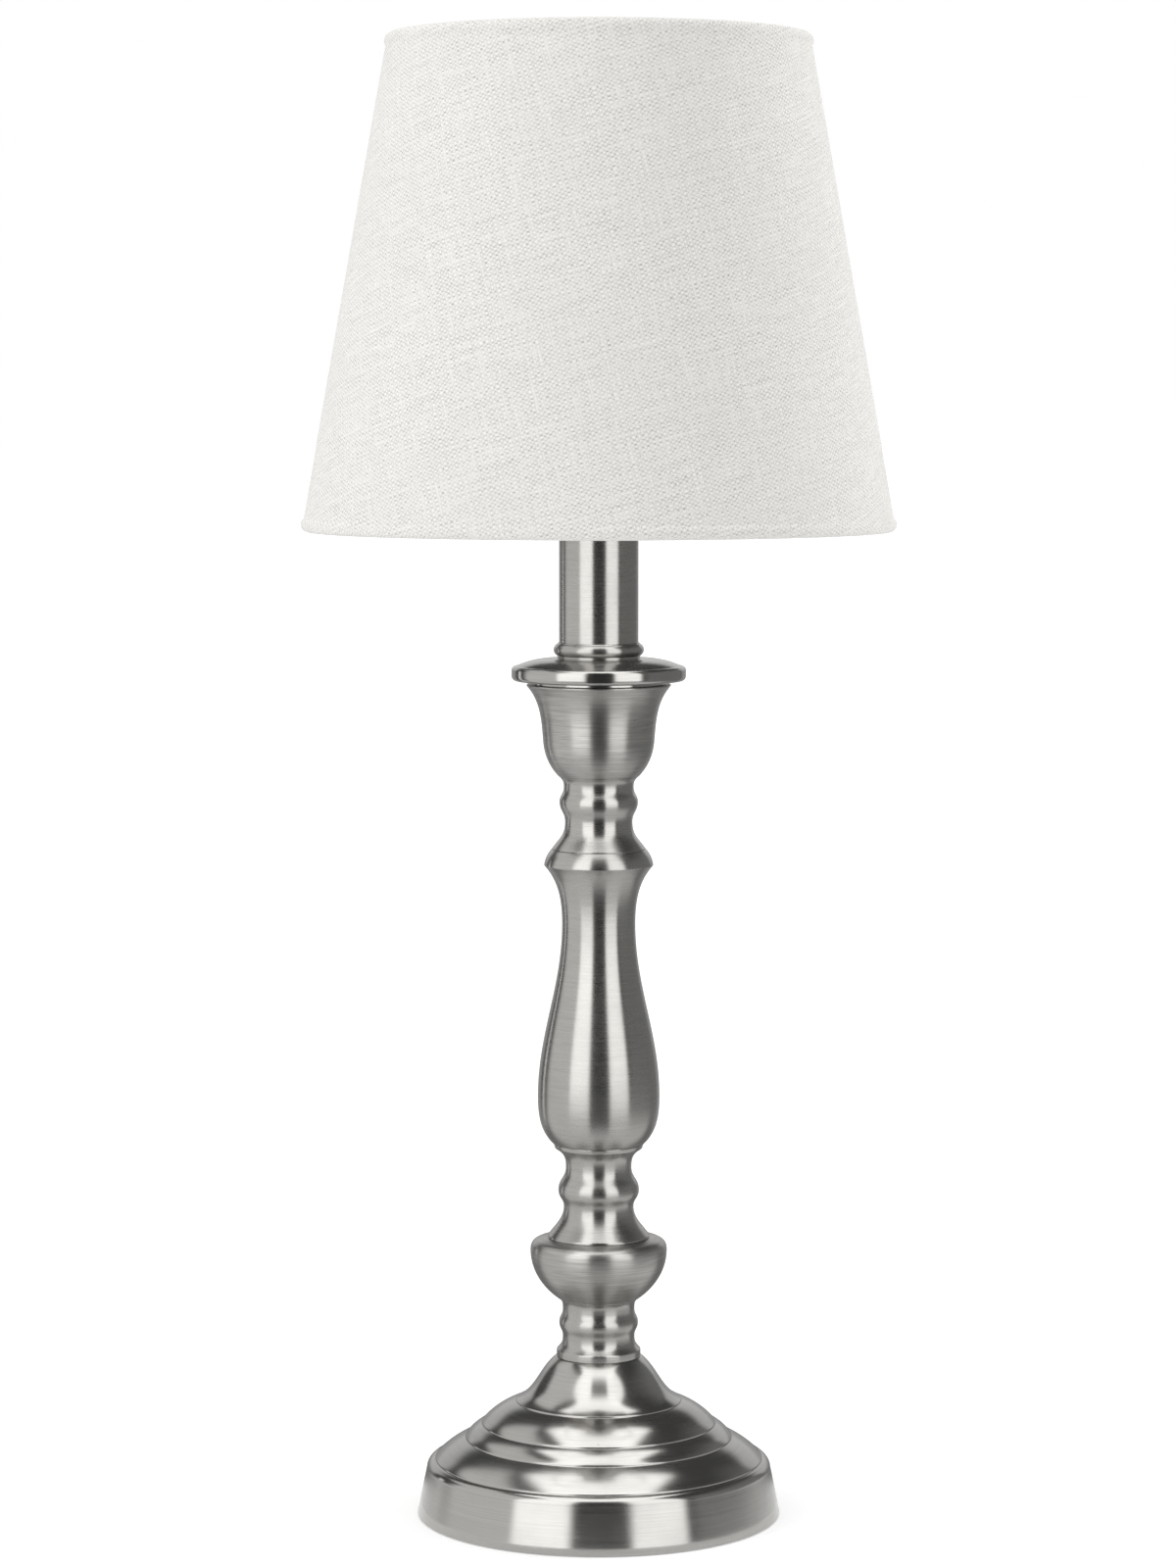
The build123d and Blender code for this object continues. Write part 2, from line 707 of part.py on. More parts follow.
def make_bulb_cap():
    """Thin metal cap with a rim that the glass is cemented on."""
    under_rim = glass_level - bulb_cap_wall
    inner = bulb_cap_radius - bulb_cap_wall
    lip = bulb_cap_radius - bulb_cap_lip
    side = Outline(inner, bulb_cap_level).line(bulb_cap_radius, bulb_cap_level)
    side.line(bulb_cap_radius, under_rim).line(bulb_neck_radius, under_rim)
    side.line(bulb_neck_radius, glass_level).line(lip, glass_level).line(lip, under_rim)
    return side.line(inner, under_rim).turned()


def make_bulb_insulator():
    """Glass bead between the cap and the tip."""
    side = Outline(0, insulator_level).line(bulb_insulator_foot, insulator_level)
    return side.line(bulb_cap_radius, bulb_cap_level).line(0, bulb_cap_level).turned()


nodes = {
    "felt_pad": drum(base_radius - base_wall - felt_inset, 0, disc_level),
    "bottom_disc": drum(skirt_radius(weight_level) - base_wall - disc_gap, disc_level, weight_level),
    "base_weight": make_base_weight(),
    "base_shell": make_base_shell(),
    "cable_bush": make_cable_bush(),
    "base_washer": washer(weight_level + recess_depth - washer_thickness),
    "base_nut": hex_nut(weight_level + recess_depth - washer_thickness - nut_height),
    "threaded_rod": make_threaded_rod(),
    "foot_collar": make_foot_collar(),
    "knop_bowl": make_knop_bowl(),
    "lower_neck": make_lower_neck(),
    "baluster": make_baluster(),
    "upper_neck": make_upper_neck(),
    "candle_cup": make_candle_cup(),
    "drip_pan": make_drip_pan(),
    "stem_washer": washer(sleeve_level),
    "stem_nut": hex_nut(sleeve_level + washer_thickness),
    "sleeve_collar": make_sleeve_collar(),
    "candle_sleeve": make_candle_sleeve(),
    "holder_nut": hex_nut(cap_level - nut_height),
    "holder_cap": make_holder_cap(),
    "holder_core": make_holder_core(),
    "terminal_screws": make_terminal_screws(),
    "screw_shell": make_screw_shell(),
    "centre_contact": make_centre_contact(),
    "holder_skirt": make_holder_skirt(),
    "clamp_ring": make_clamp_ring(),
    "shade_cover": make_shade_cover(),
    "shade_lining": make_shade_lining(),
    "top_wire": wire_ring(upper_wire_at),
    "bottom_wire": wire_ring(lower_wire_at),
    "fitter_ring": make_fitter_ring(),
    "spider_arms": make_spider_arms(),
    "bulb_glass": make_bulb_glass(),
    "bulb_cap": make_bulb_cap(),
    "bulb_insulator": make_bulb_insulator(),
    "bulb_tip": drum(bulb_tip_radius, tip_level, insulator_level),
}

os.makedirs("parts", exist_ok=True)
for name, shape in nodes.items():
    export_step(shape, f"parts/{name}.step")
    print(f"{name}: {shape.volume / 1000:.2f} cm3")
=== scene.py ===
"""Looks of a candlestick table lamp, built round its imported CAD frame.

Sizes are in millimetres on the lamp's own axis, as a turner would note them, and become
metres when a mesh is made. Azimuths run from the viewer's side, positive to the right.
"""

import logging
import math
from dataclasses import dataclass, field
from enum import Enum
from typing import Any, Sequence

import bmesh
import bpy
import numpy as np
from mathutils import Matrix, Vector


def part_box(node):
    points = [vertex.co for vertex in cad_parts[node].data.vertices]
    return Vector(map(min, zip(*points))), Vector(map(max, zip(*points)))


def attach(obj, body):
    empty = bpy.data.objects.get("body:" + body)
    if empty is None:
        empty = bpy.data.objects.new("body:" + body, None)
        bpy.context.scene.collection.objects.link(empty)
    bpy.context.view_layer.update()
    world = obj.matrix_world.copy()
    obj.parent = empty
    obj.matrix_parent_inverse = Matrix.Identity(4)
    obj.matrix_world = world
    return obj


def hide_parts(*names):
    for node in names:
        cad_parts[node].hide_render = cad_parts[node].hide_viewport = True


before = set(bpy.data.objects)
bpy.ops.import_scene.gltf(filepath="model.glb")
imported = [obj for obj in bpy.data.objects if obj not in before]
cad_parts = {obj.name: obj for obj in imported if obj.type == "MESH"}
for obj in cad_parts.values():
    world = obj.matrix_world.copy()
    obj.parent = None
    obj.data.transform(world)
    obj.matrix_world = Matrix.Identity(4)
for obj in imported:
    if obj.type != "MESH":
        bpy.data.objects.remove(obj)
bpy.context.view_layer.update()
LOG = logging.getLogger("table_lamp")

MM = 0.001
TURNED_UV = "turned"
NICKEL = (0.40, 0.392, 0.375)

# How a section is drawn: steps in millimetres, pulls and shares as parts of a run's length.
SLACK_PULL = 0.36
FULL_PULL = 0.45
CURVE_STEP = 0.5
CURVE_POINTS = 8
SWEEP_SLACK = 1.1
LINE_STEP = 5.0
LINE_EDGE = 0.25
LINE_EDGE_SHARE = 0.3
SAME_SPOT = 1e-3
CORNER_TURN = math.radians(14)
CORNER_SHARE = 0.4
CORNER_POINTS = 5
POLE_REACH = 1e-6

# A cutting tool is twisted a little, to keep its edges off the piece's own.
TOOL_TWIST = 0.031
TOOL_SIDES = 48

# Spans of smooth noise, which keeps near its middle: its core, most of it, and its upper part.
NOISE_CORE = (0.3, 0.7)
NOISE_MOST = (0.25, 0.75)
NOISE_UPPER = (0.3, 0.8)

Object = bpy.types.Object
Socket = bpy.types.NodeSocket
Value = float | Sequence[float] | Socket
Range = tuple[float, float]
Spot = tuple[float, float]
Place = tuple[float, float, float]


class Body(Enum):
    """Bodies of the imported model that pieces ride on."""

    LAMP = "lamp_body"
    CLAMP = "clamp_ring"
    SHADE = "shade"
    BULB_FOOT = "bulb_foot"
    BULB = "bulb"


class Slot(Enum):
    """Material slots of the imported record."""

    SPUN_BASE = "spun_base"
    TURNED_STEM = "turned_stem"
    CANDLE_TUBE = "candle_tube"
    LINEN = "linen"
    LINING = "shade_lining"
    FRAME = "shade_frame"
    FELT = "felt"
    BOARD = "fibre_board"
    BALLAST = "ballast"
    HARDWARE = "hardware"
    BUSH = "cable_bush"
    HOLDER = "holder_plastic"
    CONTACTS = "contacts"
    OPAL = "opal_glass"
    BULB_METAL = "bulb_metal"
    BEAD = "bulb_bead"


class NodePen:
    """Draws nodes into one tree, each input either a constant or another node's output."""

    prefix = "ShaderNode"
    shared = ("Math", "CombineXYZ")

    def __init__(self, tree: bpy.types.NodeTree) -> None:
        """Keeps the tree that is drawn in."""
        self.tree = tree

    def plug(self, socket: Socket, value: Value) -> None:
        """Fills an input.

        Args:
            socket: the input.
            value: an output to link to it, or its constant.
        """
        if isinstance(value, Socket):
            self.tree.links.new(value, socket)
        else:
            socket.default_value = value

    def node(
        self, kind: str, plugs: dict[str | int, Value] | None = None, out: int | str = 0, **settings: Any
    ) -> Socket:
        """Adds a node.

        Args:
            kind: node type without its prefix.
            plugs: inputs by name or number.
            out: the output to return.
            settings: the node's own options.

        Returns:
            The chosen output socket.
        """
        prefix = NodePen.prefix if kind in self.shared else self.prefix
        made = self.tree.nodes.new(prefix + kind)
        for option, choice in settings.items():
            setattr(made, option, choice)
        for key, value in (plugs or {}).items():
            self.plug(made.inputs[key], value)
        return made.outputs[out] if made.outputs else None

    def maths(self, operation: str, first: Value, *others: Value) -> Socket:
        """Works one sum on a number alone, or on several numbers in turn.

        Args:
            operation: the sum's name.
            first: the first number.
            others: the numbers that follow it.

        Returns:
            The result.
        """
        for other in others or (0.0,):
            first = self.node("Math", {0: first, 1: other}, operation=operation)
        return first

    def weighed(self, first: Value, first_weight: float, second: Value, second_weight: float) -> Socket:
        """Returns two numbers added by weight."""
        parts = [self.maths("MULTIPLY", *pair) for pair in ((first, first_weight), (second, second_weight))]
        return self.maths("ADD", *parts)

    def vector(self, operation: str, first: Value, second: Value = (0, 0, 0)) -> Socket:
        """Returns one sum of two vectors."""
        return self.node("VectorMath", {0: first, 1: second}, operation=operation)

    def length(self, vector: Value) -> Socket:
        """Returns a vector's length."""
        return self.node("VectorMath", {0: vector}, out="Value", operation="LENGTH")

    def split(self, vector: Value) -> list[Socket]:
        """Returns a vector's three parts."""
        self.node("SeparateXYZ", {0: vector})
        return list(self.tree.nodes[-1].outputs)

    def join(self, x: Value = 0.0, y: Value = 0.0, z: Value = 0.0) -> Socket:
        """Returns a vector made of three numbers."""
        return self.node("CombineXYZ", {0: x, 1: y, 2: z})

    def span(self, value: Value, low: float, high: float, start: float = 0.0, end: float = 1.0) -> Socket:
        """Returns a number carried smoothly from one range to another, held at its ends."""
        plugs = {0: value, 1: low, 2: high, 3: start, 4: end}
        return self.node("MapRange", plugs, interpolation_type="SMOOTHSTEP")

    def noise(self, at: Value, scale: float, detail: float = 2.0, roughness: float = 0.5) -> Socket:
        """Returns smooth noise from 0 to 1."""
        return self.node("TexNoise", {"Vector": at, "Scale": scale, "Detail": detail, "Roughness": roughness})

    def rough_noise(self, at: Value, scale: float) -> Socket:
        """Returns noise with more small detail, from 0 to 1."""
        return self.noise(at, scale, 3.0, 0.6)

    def blend(self, share: Value, first: Value, second: Value) -> Socket:
        """Returns one colour laid over another."""
        return self.node("Mix", {0: share, 6: first, 7: second}, out=2, data_type="RGBA")

    def bump(self, height: Value, depth: float, strength: float) -> Socket:
        """Returns a normal pushed by a height in millimetres."""
        return self.node("Bump", {"Height": height, "Distance": depth * MM, "Strength": strength})

    def object_place(self) -> Socket:
        """Returns the place on the piece, in the lamp's frame."""
        return self.node("TexCoord", out="Object")

    def principled(self, **plugs: Value) -> None:
        """Ends the tree in one principled shader, its inputs named with _ for a space."""
        named = {key.replace("_", " "): value for key, value in plugs.items()}
        self.surface(self.node("BsdfPrincipled", named))

    def surface(self, shader: Socket) -> None:
        """Ends the tree in a shader."""
        self.node("OutputMaterial", {"Surface": shader})


def blank_pen(owner: bpy.types.Material | bpy.types.World) -> NodePen:
    """Empties the node tree of a material or a world.

    Args:
        owner: what has the tree.

    Returns:
        A pen to draw in it.
    """
    owner.use_nodes = True
    owner.node_tree.nodes.clear()
    return NodePen(owner.node_tree)


def grey(level: float) -> tuple[float, float, float, float]:
    """Returns a neutral colour."""
    return level, level, level, 1.0


def tone(colour: Sequence[float], share: float) -> tuple[float, ...]:
    """Returns a colour made lighter or darker."""
    return (*(min(part * share, 1.0) for part in colour[:3]), 1.0)


@dataclass(frozen=True)
class Finish:
    """One finish of the lamp, made once as a material."""

    name: str
    slot: Slot
    colour: Place

    def material(self) -> bpy.types.Material:
        """Draws the finish at its first use.

        Returns:
            The finish's material.
        """
        made = bpy.data.materials.get(self.name)
        if made is None:
            made = bpy.data.materials.new(self.name)
            self.paint(blank_pen(made))
        return made

    def paint(self, pen: NodePen) -> None:
        """Draws the finish's nodes."""
        raise NotImplementedError


@dataclass(frozen=True)
class TurnedMetal(Finish):
    """Satin plate over turned or spun metal: fine lines round the axis, faint clouds and rare pits."""

    roughness: float = 0.27
    anisotropy: float = 0.85
    quarter_turn: float = 0.25
    line_depth: float = 0.003
    line_strength: float = 0.5
    line_contrast: float = 0.10
    line_gloss: Range = (-0.02, 0.025)
    fine_per_mm: float = 6.0
    fine_sway: float = 2.2
    fine_share: float = 0.6
    coarse_per_mm: float = 1.9
    coarse_sway: float = 0.8
    cloud_per_m: float = 55.0
    cloud_span: Range = (0.35, 0.75)
    cloud_share: float = 0.10
    cloud_tone: float = 0.72
    cloud_gloss: Range = (-0.02, 0.04)
    pit_spacing: float = 7.0
    pit_radius: float = 0.28
    pit_floor: float = 0.4
    pit_skip: float = 0.6
    pit_share: float = 0.75
    pit_grey: float = 0.06

    def lines(self, pen: NodePen, around: Socket, along: Socket, per_mm: float, sway: float) -> Socket:
        """Draws noise out round the axis.

        Args:
            pen: the finish's pen.
            around: direction from the axis.
            along: distance along the section.
            per_mm: lines to a millimetre.
            sway: how soon a line changes on its way round.

        Returns:
            The lines, from 0 to 1.
        """
        climb = pen.join(z=pen.maths("MULTIPLY", along, per_mm / MM))
        swing = pen.vector("MULTIPLY", around, (sway, sway, 0))
        return pen.rough_noise(pen.vector("ADD", swing, climb), 1.0)

    def pits(self, pen: NodePen, place: Socket) -> Socket:
        """Draws small casting pits, far apart.

        Args:
            pen: the finish's pen.
            place: place on the piece.

        Returns:
            1 in a pit and 0 outside.
        """
        cells = {"Vector": place, "Scale": 1 / (self.pit_spacing * MM)}
        reach = self.pit_radius / self.pit_spacing
        near = pen.span(pen.node("TexVoronoi", cells), reach, reach * self.pit_floor)
        draw = pen.split(pen.node("TexVoronoi", cells, out="Color"))[0]
        return pen.maths("MULTIPLY", near, pen.maths("GREATER_THAN", draw, self.pit_skip))

    def paint(self, pen: NodePen) -> None:
        """Draws lines, clouds and pits into colour, gloss and relief.

        Args:
            pen: the finish's pen.
        """
        place = pen.object_place()
        along = pen.split(pen.node("UVMap", uv_map=TURNED_UV))[1]
        around = pen.vector("NORMALIZE", pen.vector("MULTIPLY", place, (1, 1, 0)))
        fine = self.lines(pen, around, along, self.fine_per_mm, self.fine_sway)
        coarse = self.lines(pen, around, along, self.coarse_per_mm, self.coarse_sway)
        lines = pen.weighed(fine, self.fine_share, coarse, 1 - self.fine_share)
        cloud = pen.rough_noise(place, self.cloud_per_m)
        pits = self.pits(pen, place)
        dark, light = (tone(self.colour, 1 + side * self.line_contrast) for side in (-1, 1))
        colour = pen.blend(pen.span(lines, *NOISE_CORE), dark, light)
        haze = pen.span(cloud, *self.cloud_span, 0.0, self.cloud_share)
        colour = pen.blend(haze, colour, tone(self.colour, self.cloud_tone))
        colour = pen.blend(pen.maths("MULTIPLY", pits, self.pit_share), colour, grey(self.pit_grey))
        gloss = pen.span(lines, *NOISE_MOST, *(self.roughness + part for part in self.line_gloss))
        gloss = pen.maths("ADD", gloss, pen.span(cloud, *NOISE_UPPER, *self.cloud_gloss))
        height = pen.maths("SUBTRACT", lines, pits)
        pen.principled(
            Base_Color=colour,
            Metallic=1.0,
            Roughness=gloss,
            Anisotropic=self.anisotropy,
            Anisotropic_Rotation=self.quarter_turn,
            Normal=pen.bump(height, self.line_depth, self.line_strength),
            Tangent=pen.node("Tangent", direction_type="UV_MAP", uv_map=TURNED_UV),
        )


@dataclass(frozen=True)
class Threads:
    """One set of a cloth's threads: their spacing in millimetres, their sway and their slubs."""

    pitch: float
    seed: float
    swell: Range
    slub_span: Range
    slub_pores: float
    sway: float = 0.3
    sway_span: Range = (0.2, 0.8)
    sway_per_m: float = 150.0
    sway_per_thread: float = 0.55
    slub_per_m: float = 55.0
    slub_per_thread: float = 0.8
    slub_roughness: float = 0.6
    slub_seed: float = 7.0

    def draw(self, pen: NodePen, along: Socket, over: Socket) -> tuple[Socket, Socket]:
        """Draws the threads.

        Args:
            pen: the cloth's pen.
            along: distance along the threads.
            over: distance across them.

        Returns:
            A wave with one half period to a thread, and the threads' slubs from 0 to 1.
        """
        rows = pen.maths("MULTIPLY", over, 1 / (self.pitch * MM))
        drift_x = pen.maths("MULTIPLY", along, self.sway_per_m)
        drift_y = pen.maths("MULTIPLY", rows, self.sway_per_thread)
        drift = pen.noise(pen.join(drift_x, drift_y, self.seed), 1.0)
        sway = pen.span(drift, *self.sway_span, -self.sway, self.sway)
        wave = pen.maths("SINE", pen.maths("MULTIPLY", pen.maths("ADD", rows, sway), math.pi))
        slub_x = pen.maths("MULTIPLY", along, self.slub_per_m)
        slub_y = pen.maths("MULTIPLY", rows, self.slub_per_thread)
        slub_at = pen.join(slub_x, slub_y, self.seed + self.slub_seed)
        return wave, pen.noise(slub_at, 1.0, roughness=self.slub_roughness)

    def ridge(self, pen: NodePen, wave: Socket, slub: Socket) -> Socket:
        """Returns the threads' height, greater on a slub."""
        return pen.maths("MULTIPLY", pen.maths("ABSOLUTE", wave), pen.span(slub, *NOISE_MOST, *self.swell))

    def opening(self, pen: NodePen, slub: Socket) -> Socket:
        """Returns how far pores stay open beside the threads, less at a slub; it scales the painted shade in
        the pores.
        """
        return pen.span(slub, *self.slub_span, 1.0, self.slub_pores)


@dataclass(frozen=True)
class Linen(Finish):
    """Plain-woven linen laid slantwise round the cone, with slubs in both threads, painted highlight on the
    raised yarn and painted shade in the pores and gaps.
    """

    weft: Threads = Threads(0.74, 0.0, swell=(0.55, 1.2), slub_span=(0.54, 0.68), slub_pores=0.25)
    warp: Threads = Threads(1.0, 31.0, swell=(0.7, 1.15), slub_span=(0.57, 0.68), slub_pores=0.2)
    slant: float = 14.6
    cone_radius: float = 99.2
    cone_level: float = 333.5
    cone_height: float = 164.2
    cone_inset: float = 29.3
    hem_share: float = 0.15
    crossing_edge: float = 0.5
    fuzz_per_m: float = 2600.0
    fuzz_height: float = 0.25
    # Painted light of the weave: raised yarn is lightened as a painted highlight, and pores, the gaps between
    # rows and warp threads and one side of the weft are darkened as painted shade.
    pore_shade_span: Range = (-1.0, -0.15)
    pore_shade_strength: float = 0.95
    pore_shade_tone: float = 0.54
    uneven_per_m: float = 620.0
    uneven_roughness: float = 0.6
    uneven_span: Range = (0.32, 0.68)
    uneven_pore_shade: Range = (0.35, 1.5)
    yarn_highlight_span: Range = (0.08, 0.6)
    yarn_highlight_tone: float = 1.15
    gap_edge: float = 0.6
    row_gap_shade: float = 0.45
    row_gap_shade_span: Range = (0.30, 0.47)
    weft_shade_tone: float = 0.86
    warp_gap_shade: float = 0.8
    streak_span: Range = (0.85, 1.35)
    streak_share: float = 0.25
    streak_tone: float = 1.08
    patch_per_m: float = 22.0
    patch_detail: float = 3.0
    patch_share: float = 0.25
    patch_tone: float = 0.93
    roughness: float = 0.92
    specular: float = 0.2
    sheen: float = 0.12
    sheen_roughness: float = 0.5
    relief: float = 0.16
    relief_strength: float = 0.45

    def cloth_place(self, pen: NodePen) -> tuple[Socket, Socket]:
        """Rolls the cone and its hems out flat.

        Args:
            pen: the finish's pen.

        Returns:
            Distances along the weft and the warp, in metres.
        """
        x, y, z = pen.split(pen.object_place())
        tangent = self.cone_inset / self.cone_height
        rise = pen.maths("SUBTRACT", z, self.cone_level * MM)
        radius = pen.maths("SUBTRACT", self.cone_radius * MM, pen.maths("MULTIPLY", rise, tangent))
        turn = pen.maths("ARCTAN2", x, pen.maths("MULTIPLY", y, -1.0))
        wide = pen.maths("MULTIPLY", turn, radius)
        # Round a hem the way inwards goes on from the slope: upwards at the top, downwards below.
        inwards = pen.maths("SUBTRACT", radius, pen.length(pen.join(x, y)))
        level = self.cone_height * MM
        end = pen.span(rise, self.hem_share * level, (1 - self.hem_share) * level, -1.0, 1.0)
        roll = pen.maths("MULTIPLY", pen.maths("MAXIMUM", inwards, 0.0), end)
        high = pen.maths("ADD", pen.maths("MULTIPLY", rise, math.hypot(1, tangent)), roll)
        lean = math.radians(self.slant)
        across = pen.weighed(wide, math.cos(lean), high, math.sin(lean))
        return across, pen.weighed(high, math.cos(lean), wide, -math.sin(lean))

    def paint(self, pen: NodePen) -> None:
        """Draws the weave into relief, and into colour painted lighter on the raised yarn and darker in the
        pores and gaps, as painted light and shade.

        Args:
            pen: the finish's pen.
        """
        across, up = self.cloth_place(pen)
        cloth = pen.join(across, up)
        weft, weft_slub = self.weft.draw(pen, across, up)
        warp, warp_slub = self.warp.draw(pen, up, across)
        crossing = pen.maths("MULTIPLY", weft, warp)
        height = pen.node("Mix", {
            0: pen.span(crossing, -self.crossing_edge, self.crossing_edge),
            2: self.weft.ridge(pen, weft, weft_slub),
            3: self.warp.ridge(pen, warp, warp_slub),
        })
        fuzz = pen.noise(cloth, self.fuzz_per_m)
        height = pen.maths("ADD", height, pen.maths("MULTIPLY", fuzz, self.fuzz_height))
        uneven = pen.noise(cloth, self.uneven_per_m, roughness=self.uneven_roughness)
        # Painted shade: the pores between the threads are darkened in colour.
        pore_shade = pen.maths(
            "MULTIPLY",
            pen.span(crossing, *self.pore_shade_span, self.pore_shade_strength, 0.0),
            pen.span(uneven, *self.uneven_span, *self.uneven_pore_shade),
            self.weft.opening(pen, weft_slub),
            self.warp.opening(pen, warp_slub),
        )
        # Painted shade in the gaps between weft rows.
        row_gap_shade = pen.maths(
            "MULTIPLY",
            pen.span(pen.maths("ABSOLUTE", weft), 0.0, self.gap_edge, self.row_gap_shade, 0.0),
            pen.span(weft_slub, *self.row_gap_shade_span, 1.0, 0.0),
        )
        # Painted light and shade: the colour follows the threads' height, lighter on raised yarn and darker
        # in pores, row gaps, warp gaps and on one side of the weft.
        light = pen.maths(
            "MULTIPLY",
            pen.span(height, *self.yarn_highlight_span),
            pen.maths("SUBTRACT", 1.0, pore_shade),
            pen.maths("SUBTRACT", 1.0, row_gap_shade),
            pen.span(pen.maths("ABSOLUTE", warp), 0.0, self.gap_edge, self.warp_gap_shade, 1.0),
            pen.span(weft, -1.0, 1.0, self.weft_shade_tone, 1.0),
        )
        colour = pen.blend(light, tone(self.colour, self.pore_shade_tone), tone(self.colour, self.yarn_highlight_tone))
        streak = pen.span(pen.maths("ADD", weft_slub, warp_slub), *self.streak_span, 0.0, self.streak_share)
        colour = pen.blend(streak, colour, tone(self.colour, self.streak_tone))
        patch = pen.noise(cloth, self.patch_per_m, self.patch_detail)
        patch = pen.span(patch, *NOISE_UPPER, 0.0, self.patch_share)
        colour = pen.blend(patch, colour, tone(self.colour, self.patch_tone))
        pen.principled(
            Base_Color=colour,
            Roughness=self.roughness,
            Specular_IOR_Level=self.specular,
            Sheen_Weight=self.sheen,
            Sheen_Roughness=self.sheen_roughness,
            Normal=pen.bump(height, self.relief, self.relief_strength),
        )


@dataclass(frozen=True)
class Grained(Finish):
    """Paint, plastic, board or cast metal: a grain of one size in tone, gloss and relief."""

    roughness: float = 0.5
    roughness_swing: float = 0.07
    least_roughness: float = 0.03
    metallic: float = 0.0
    grain_per_m: float = 900.0
    grain_share: float = 0.55
    grain_depth: float = 0.02
    grain_strength: float = 0.5
    contrast: float = 0.06
    patch_per_m: float = 40.0
    coat: float = 0.0
    sheen: float = 0.0
    specular: float = 0.5

    def paint(self, pen: NodePen) -> None:
        """Draws grain and patches into colour, gloss and relief.

        Args:
            pen: the finish's pen.
        """
        place = pen.object_place()
        grain = pen.rough_noise(place, self.grain_per_m)
        patch = pen.rough_noise(place, self.patch_per_m)
        mixed = pen.weighed(grain, self.grain_share, patch, 1 - self.grain_share)
        dark, light = (tone(self.colour, 1 + side * self.contrast) for side in (-1, 1))
        smooth = max(self.roughness - self.roughness_swing, self.least_roughness)
        rough = min(self.roughness + self.roughness_swing, 1.0)
        pen.principled(
            Base_Color=pen.blend(pen.span(mixed, *NOISE_CORE), dark, light),
            Metallic=self.metallic,
            Roughness=pen.span(mixed, *NOISE_MOST, smooth, rough),
            Coat_Weight=self.coat,
            Sheen_Weight=self.sheen,
            Specular_IOR_Level=self.specular,
            Normal=pen.bump(grain, self.grain_depth, self.grain_strength),
        )


@dataclass(frozen=True)
class Finishes:
    """Every finish of the lamp."""

    base: Finish = TurnedMetal(
        "SatinSpunBase", Slot.SPUN_BASE, NICKEL,
        roughness=0.19, anisotropy=0.7, line_depth=0.004, line_contrast=0.07,
    )
    stem: Finish = TurnedMetal("SatinTurnedStem", Slot.TURNED_STEM, NICKEL)
    cup: Finish = TurnedMetal(
        "MattTurnedStem", Slot.TURNED_STEM, NICKEL,
        roughness=0.34, anisotropy=0.8, line_depth=0.012, line_contrast=0.26,
    )
    pan: Finish = TurnedMetal(
        "SatinDripPan", Slot.CANDLE_TUBE, NICKEL, roughness=0.18, anisotropy=0.7, line_depth=0.005,
    )
    tube: Finish = TurnedMetal("SatinCandleTube", Slot.CANDLE_TUBE, NICKEL)
    linen: Finish = Linen("WovenLinen", Slot.LINEN, (0.84, 0.83, 0.80))
    lining: Finish = Grained(
        "StyreneLining", Slot.LINING, (0.86, 0.855, 0.83),
        roughness=0.55, grain_per_m=420, grain_depth=0.03, contrast=0.03,
    )
    wire: Finish = Grained(
        "PowderCoatedWire", Slot.FRAME, (0.84, 0.84, 0.82),
        roughness=0.42, grain_per_m=1600, grain_depth=0.03, contrast=0.04,
    )
    felt: Finish = Grained(
        "WoolFelt", Slot.FELT, (0.035, 0.035, 0.038),
        roughness=0.95, grain_per_m=2600, grain_depth=0.3, contrast=0.45, sheen=0.5, specular=0.2,
    )
    board: Finish = Grained(
        "HardFibreBoard", Slot.BOARD, (0.20, 0.14, 0.09),
        roughness=0.85, grain_per_m=1100, grain_depth=0.12, contrast=0.25,
    )
    iron: Finish = Grained(
        "CastIron", Slot.BALLAST, (0.16, 0.16, 0.17),
        roughness=0.62, metallic=0.85, grain_per_m=650, grain_depth=0.25, contrast=0.3,
    )
    zinc: Finish = Grained(
        "ZincPlate", Slot.HARDWARE, (0.62, 0.62, 0.60),
        roughness=0.34, metallic=1.0, grain_per_m=480, grain_depth=0.02, contrast=0.14,
    )
    bush: Finish = Grained(
        "MouldedBlackBush", Slot.BUSH, (0.03, 0.03, 0.032),
        roughness=0.46, grain_per_m=1900, grain_depth=0.02, contrast=0.25,
    )
    holder: Finish = Grained(
        "MouldedWhiteHolder", Slot.HOLDER, (0.80, 0.79, 0.75),
        roughness=0.34, grain_per_m=1300, grain_depth=0.012, contrast=0.03,
    )
    brass: Finish = Grained(
        "BareBrass", Slot.CONTACTS, (0.72, 0.52, 0.24),
        roughness=0.3, metallic=1.0, grain_per_m=700, grain_depth=0.015, contrast=0.15,
    )
    opal: Finish = Grained(
        "OpalGlass", Slot.OPAL, (0.86, 0.855, 0.83),
        roughness=0.16, grain_per_m=260, grain_depth=0.004, contrast=0.02, coat=0.5,
    )
    cap: Finish = Grained(
        "NickelBulbCap", Slot.BULB_METAL, (0.66, 0.65, 0.62),
        roughness=0.26, metallic=1.0, grain_per_m=800, grain_depth=0.01, contrast=0.1,
    )
    bead: Finish = Grained(
        "BlackGlassBead", Slot.BEAD, (0.02, 0.02, 0.024),
        roughness=0.1, grain_per_m=500, grain_depth=0.006, contrast=0.2, coat=0.3,
    )


FINISHES = Finishes()


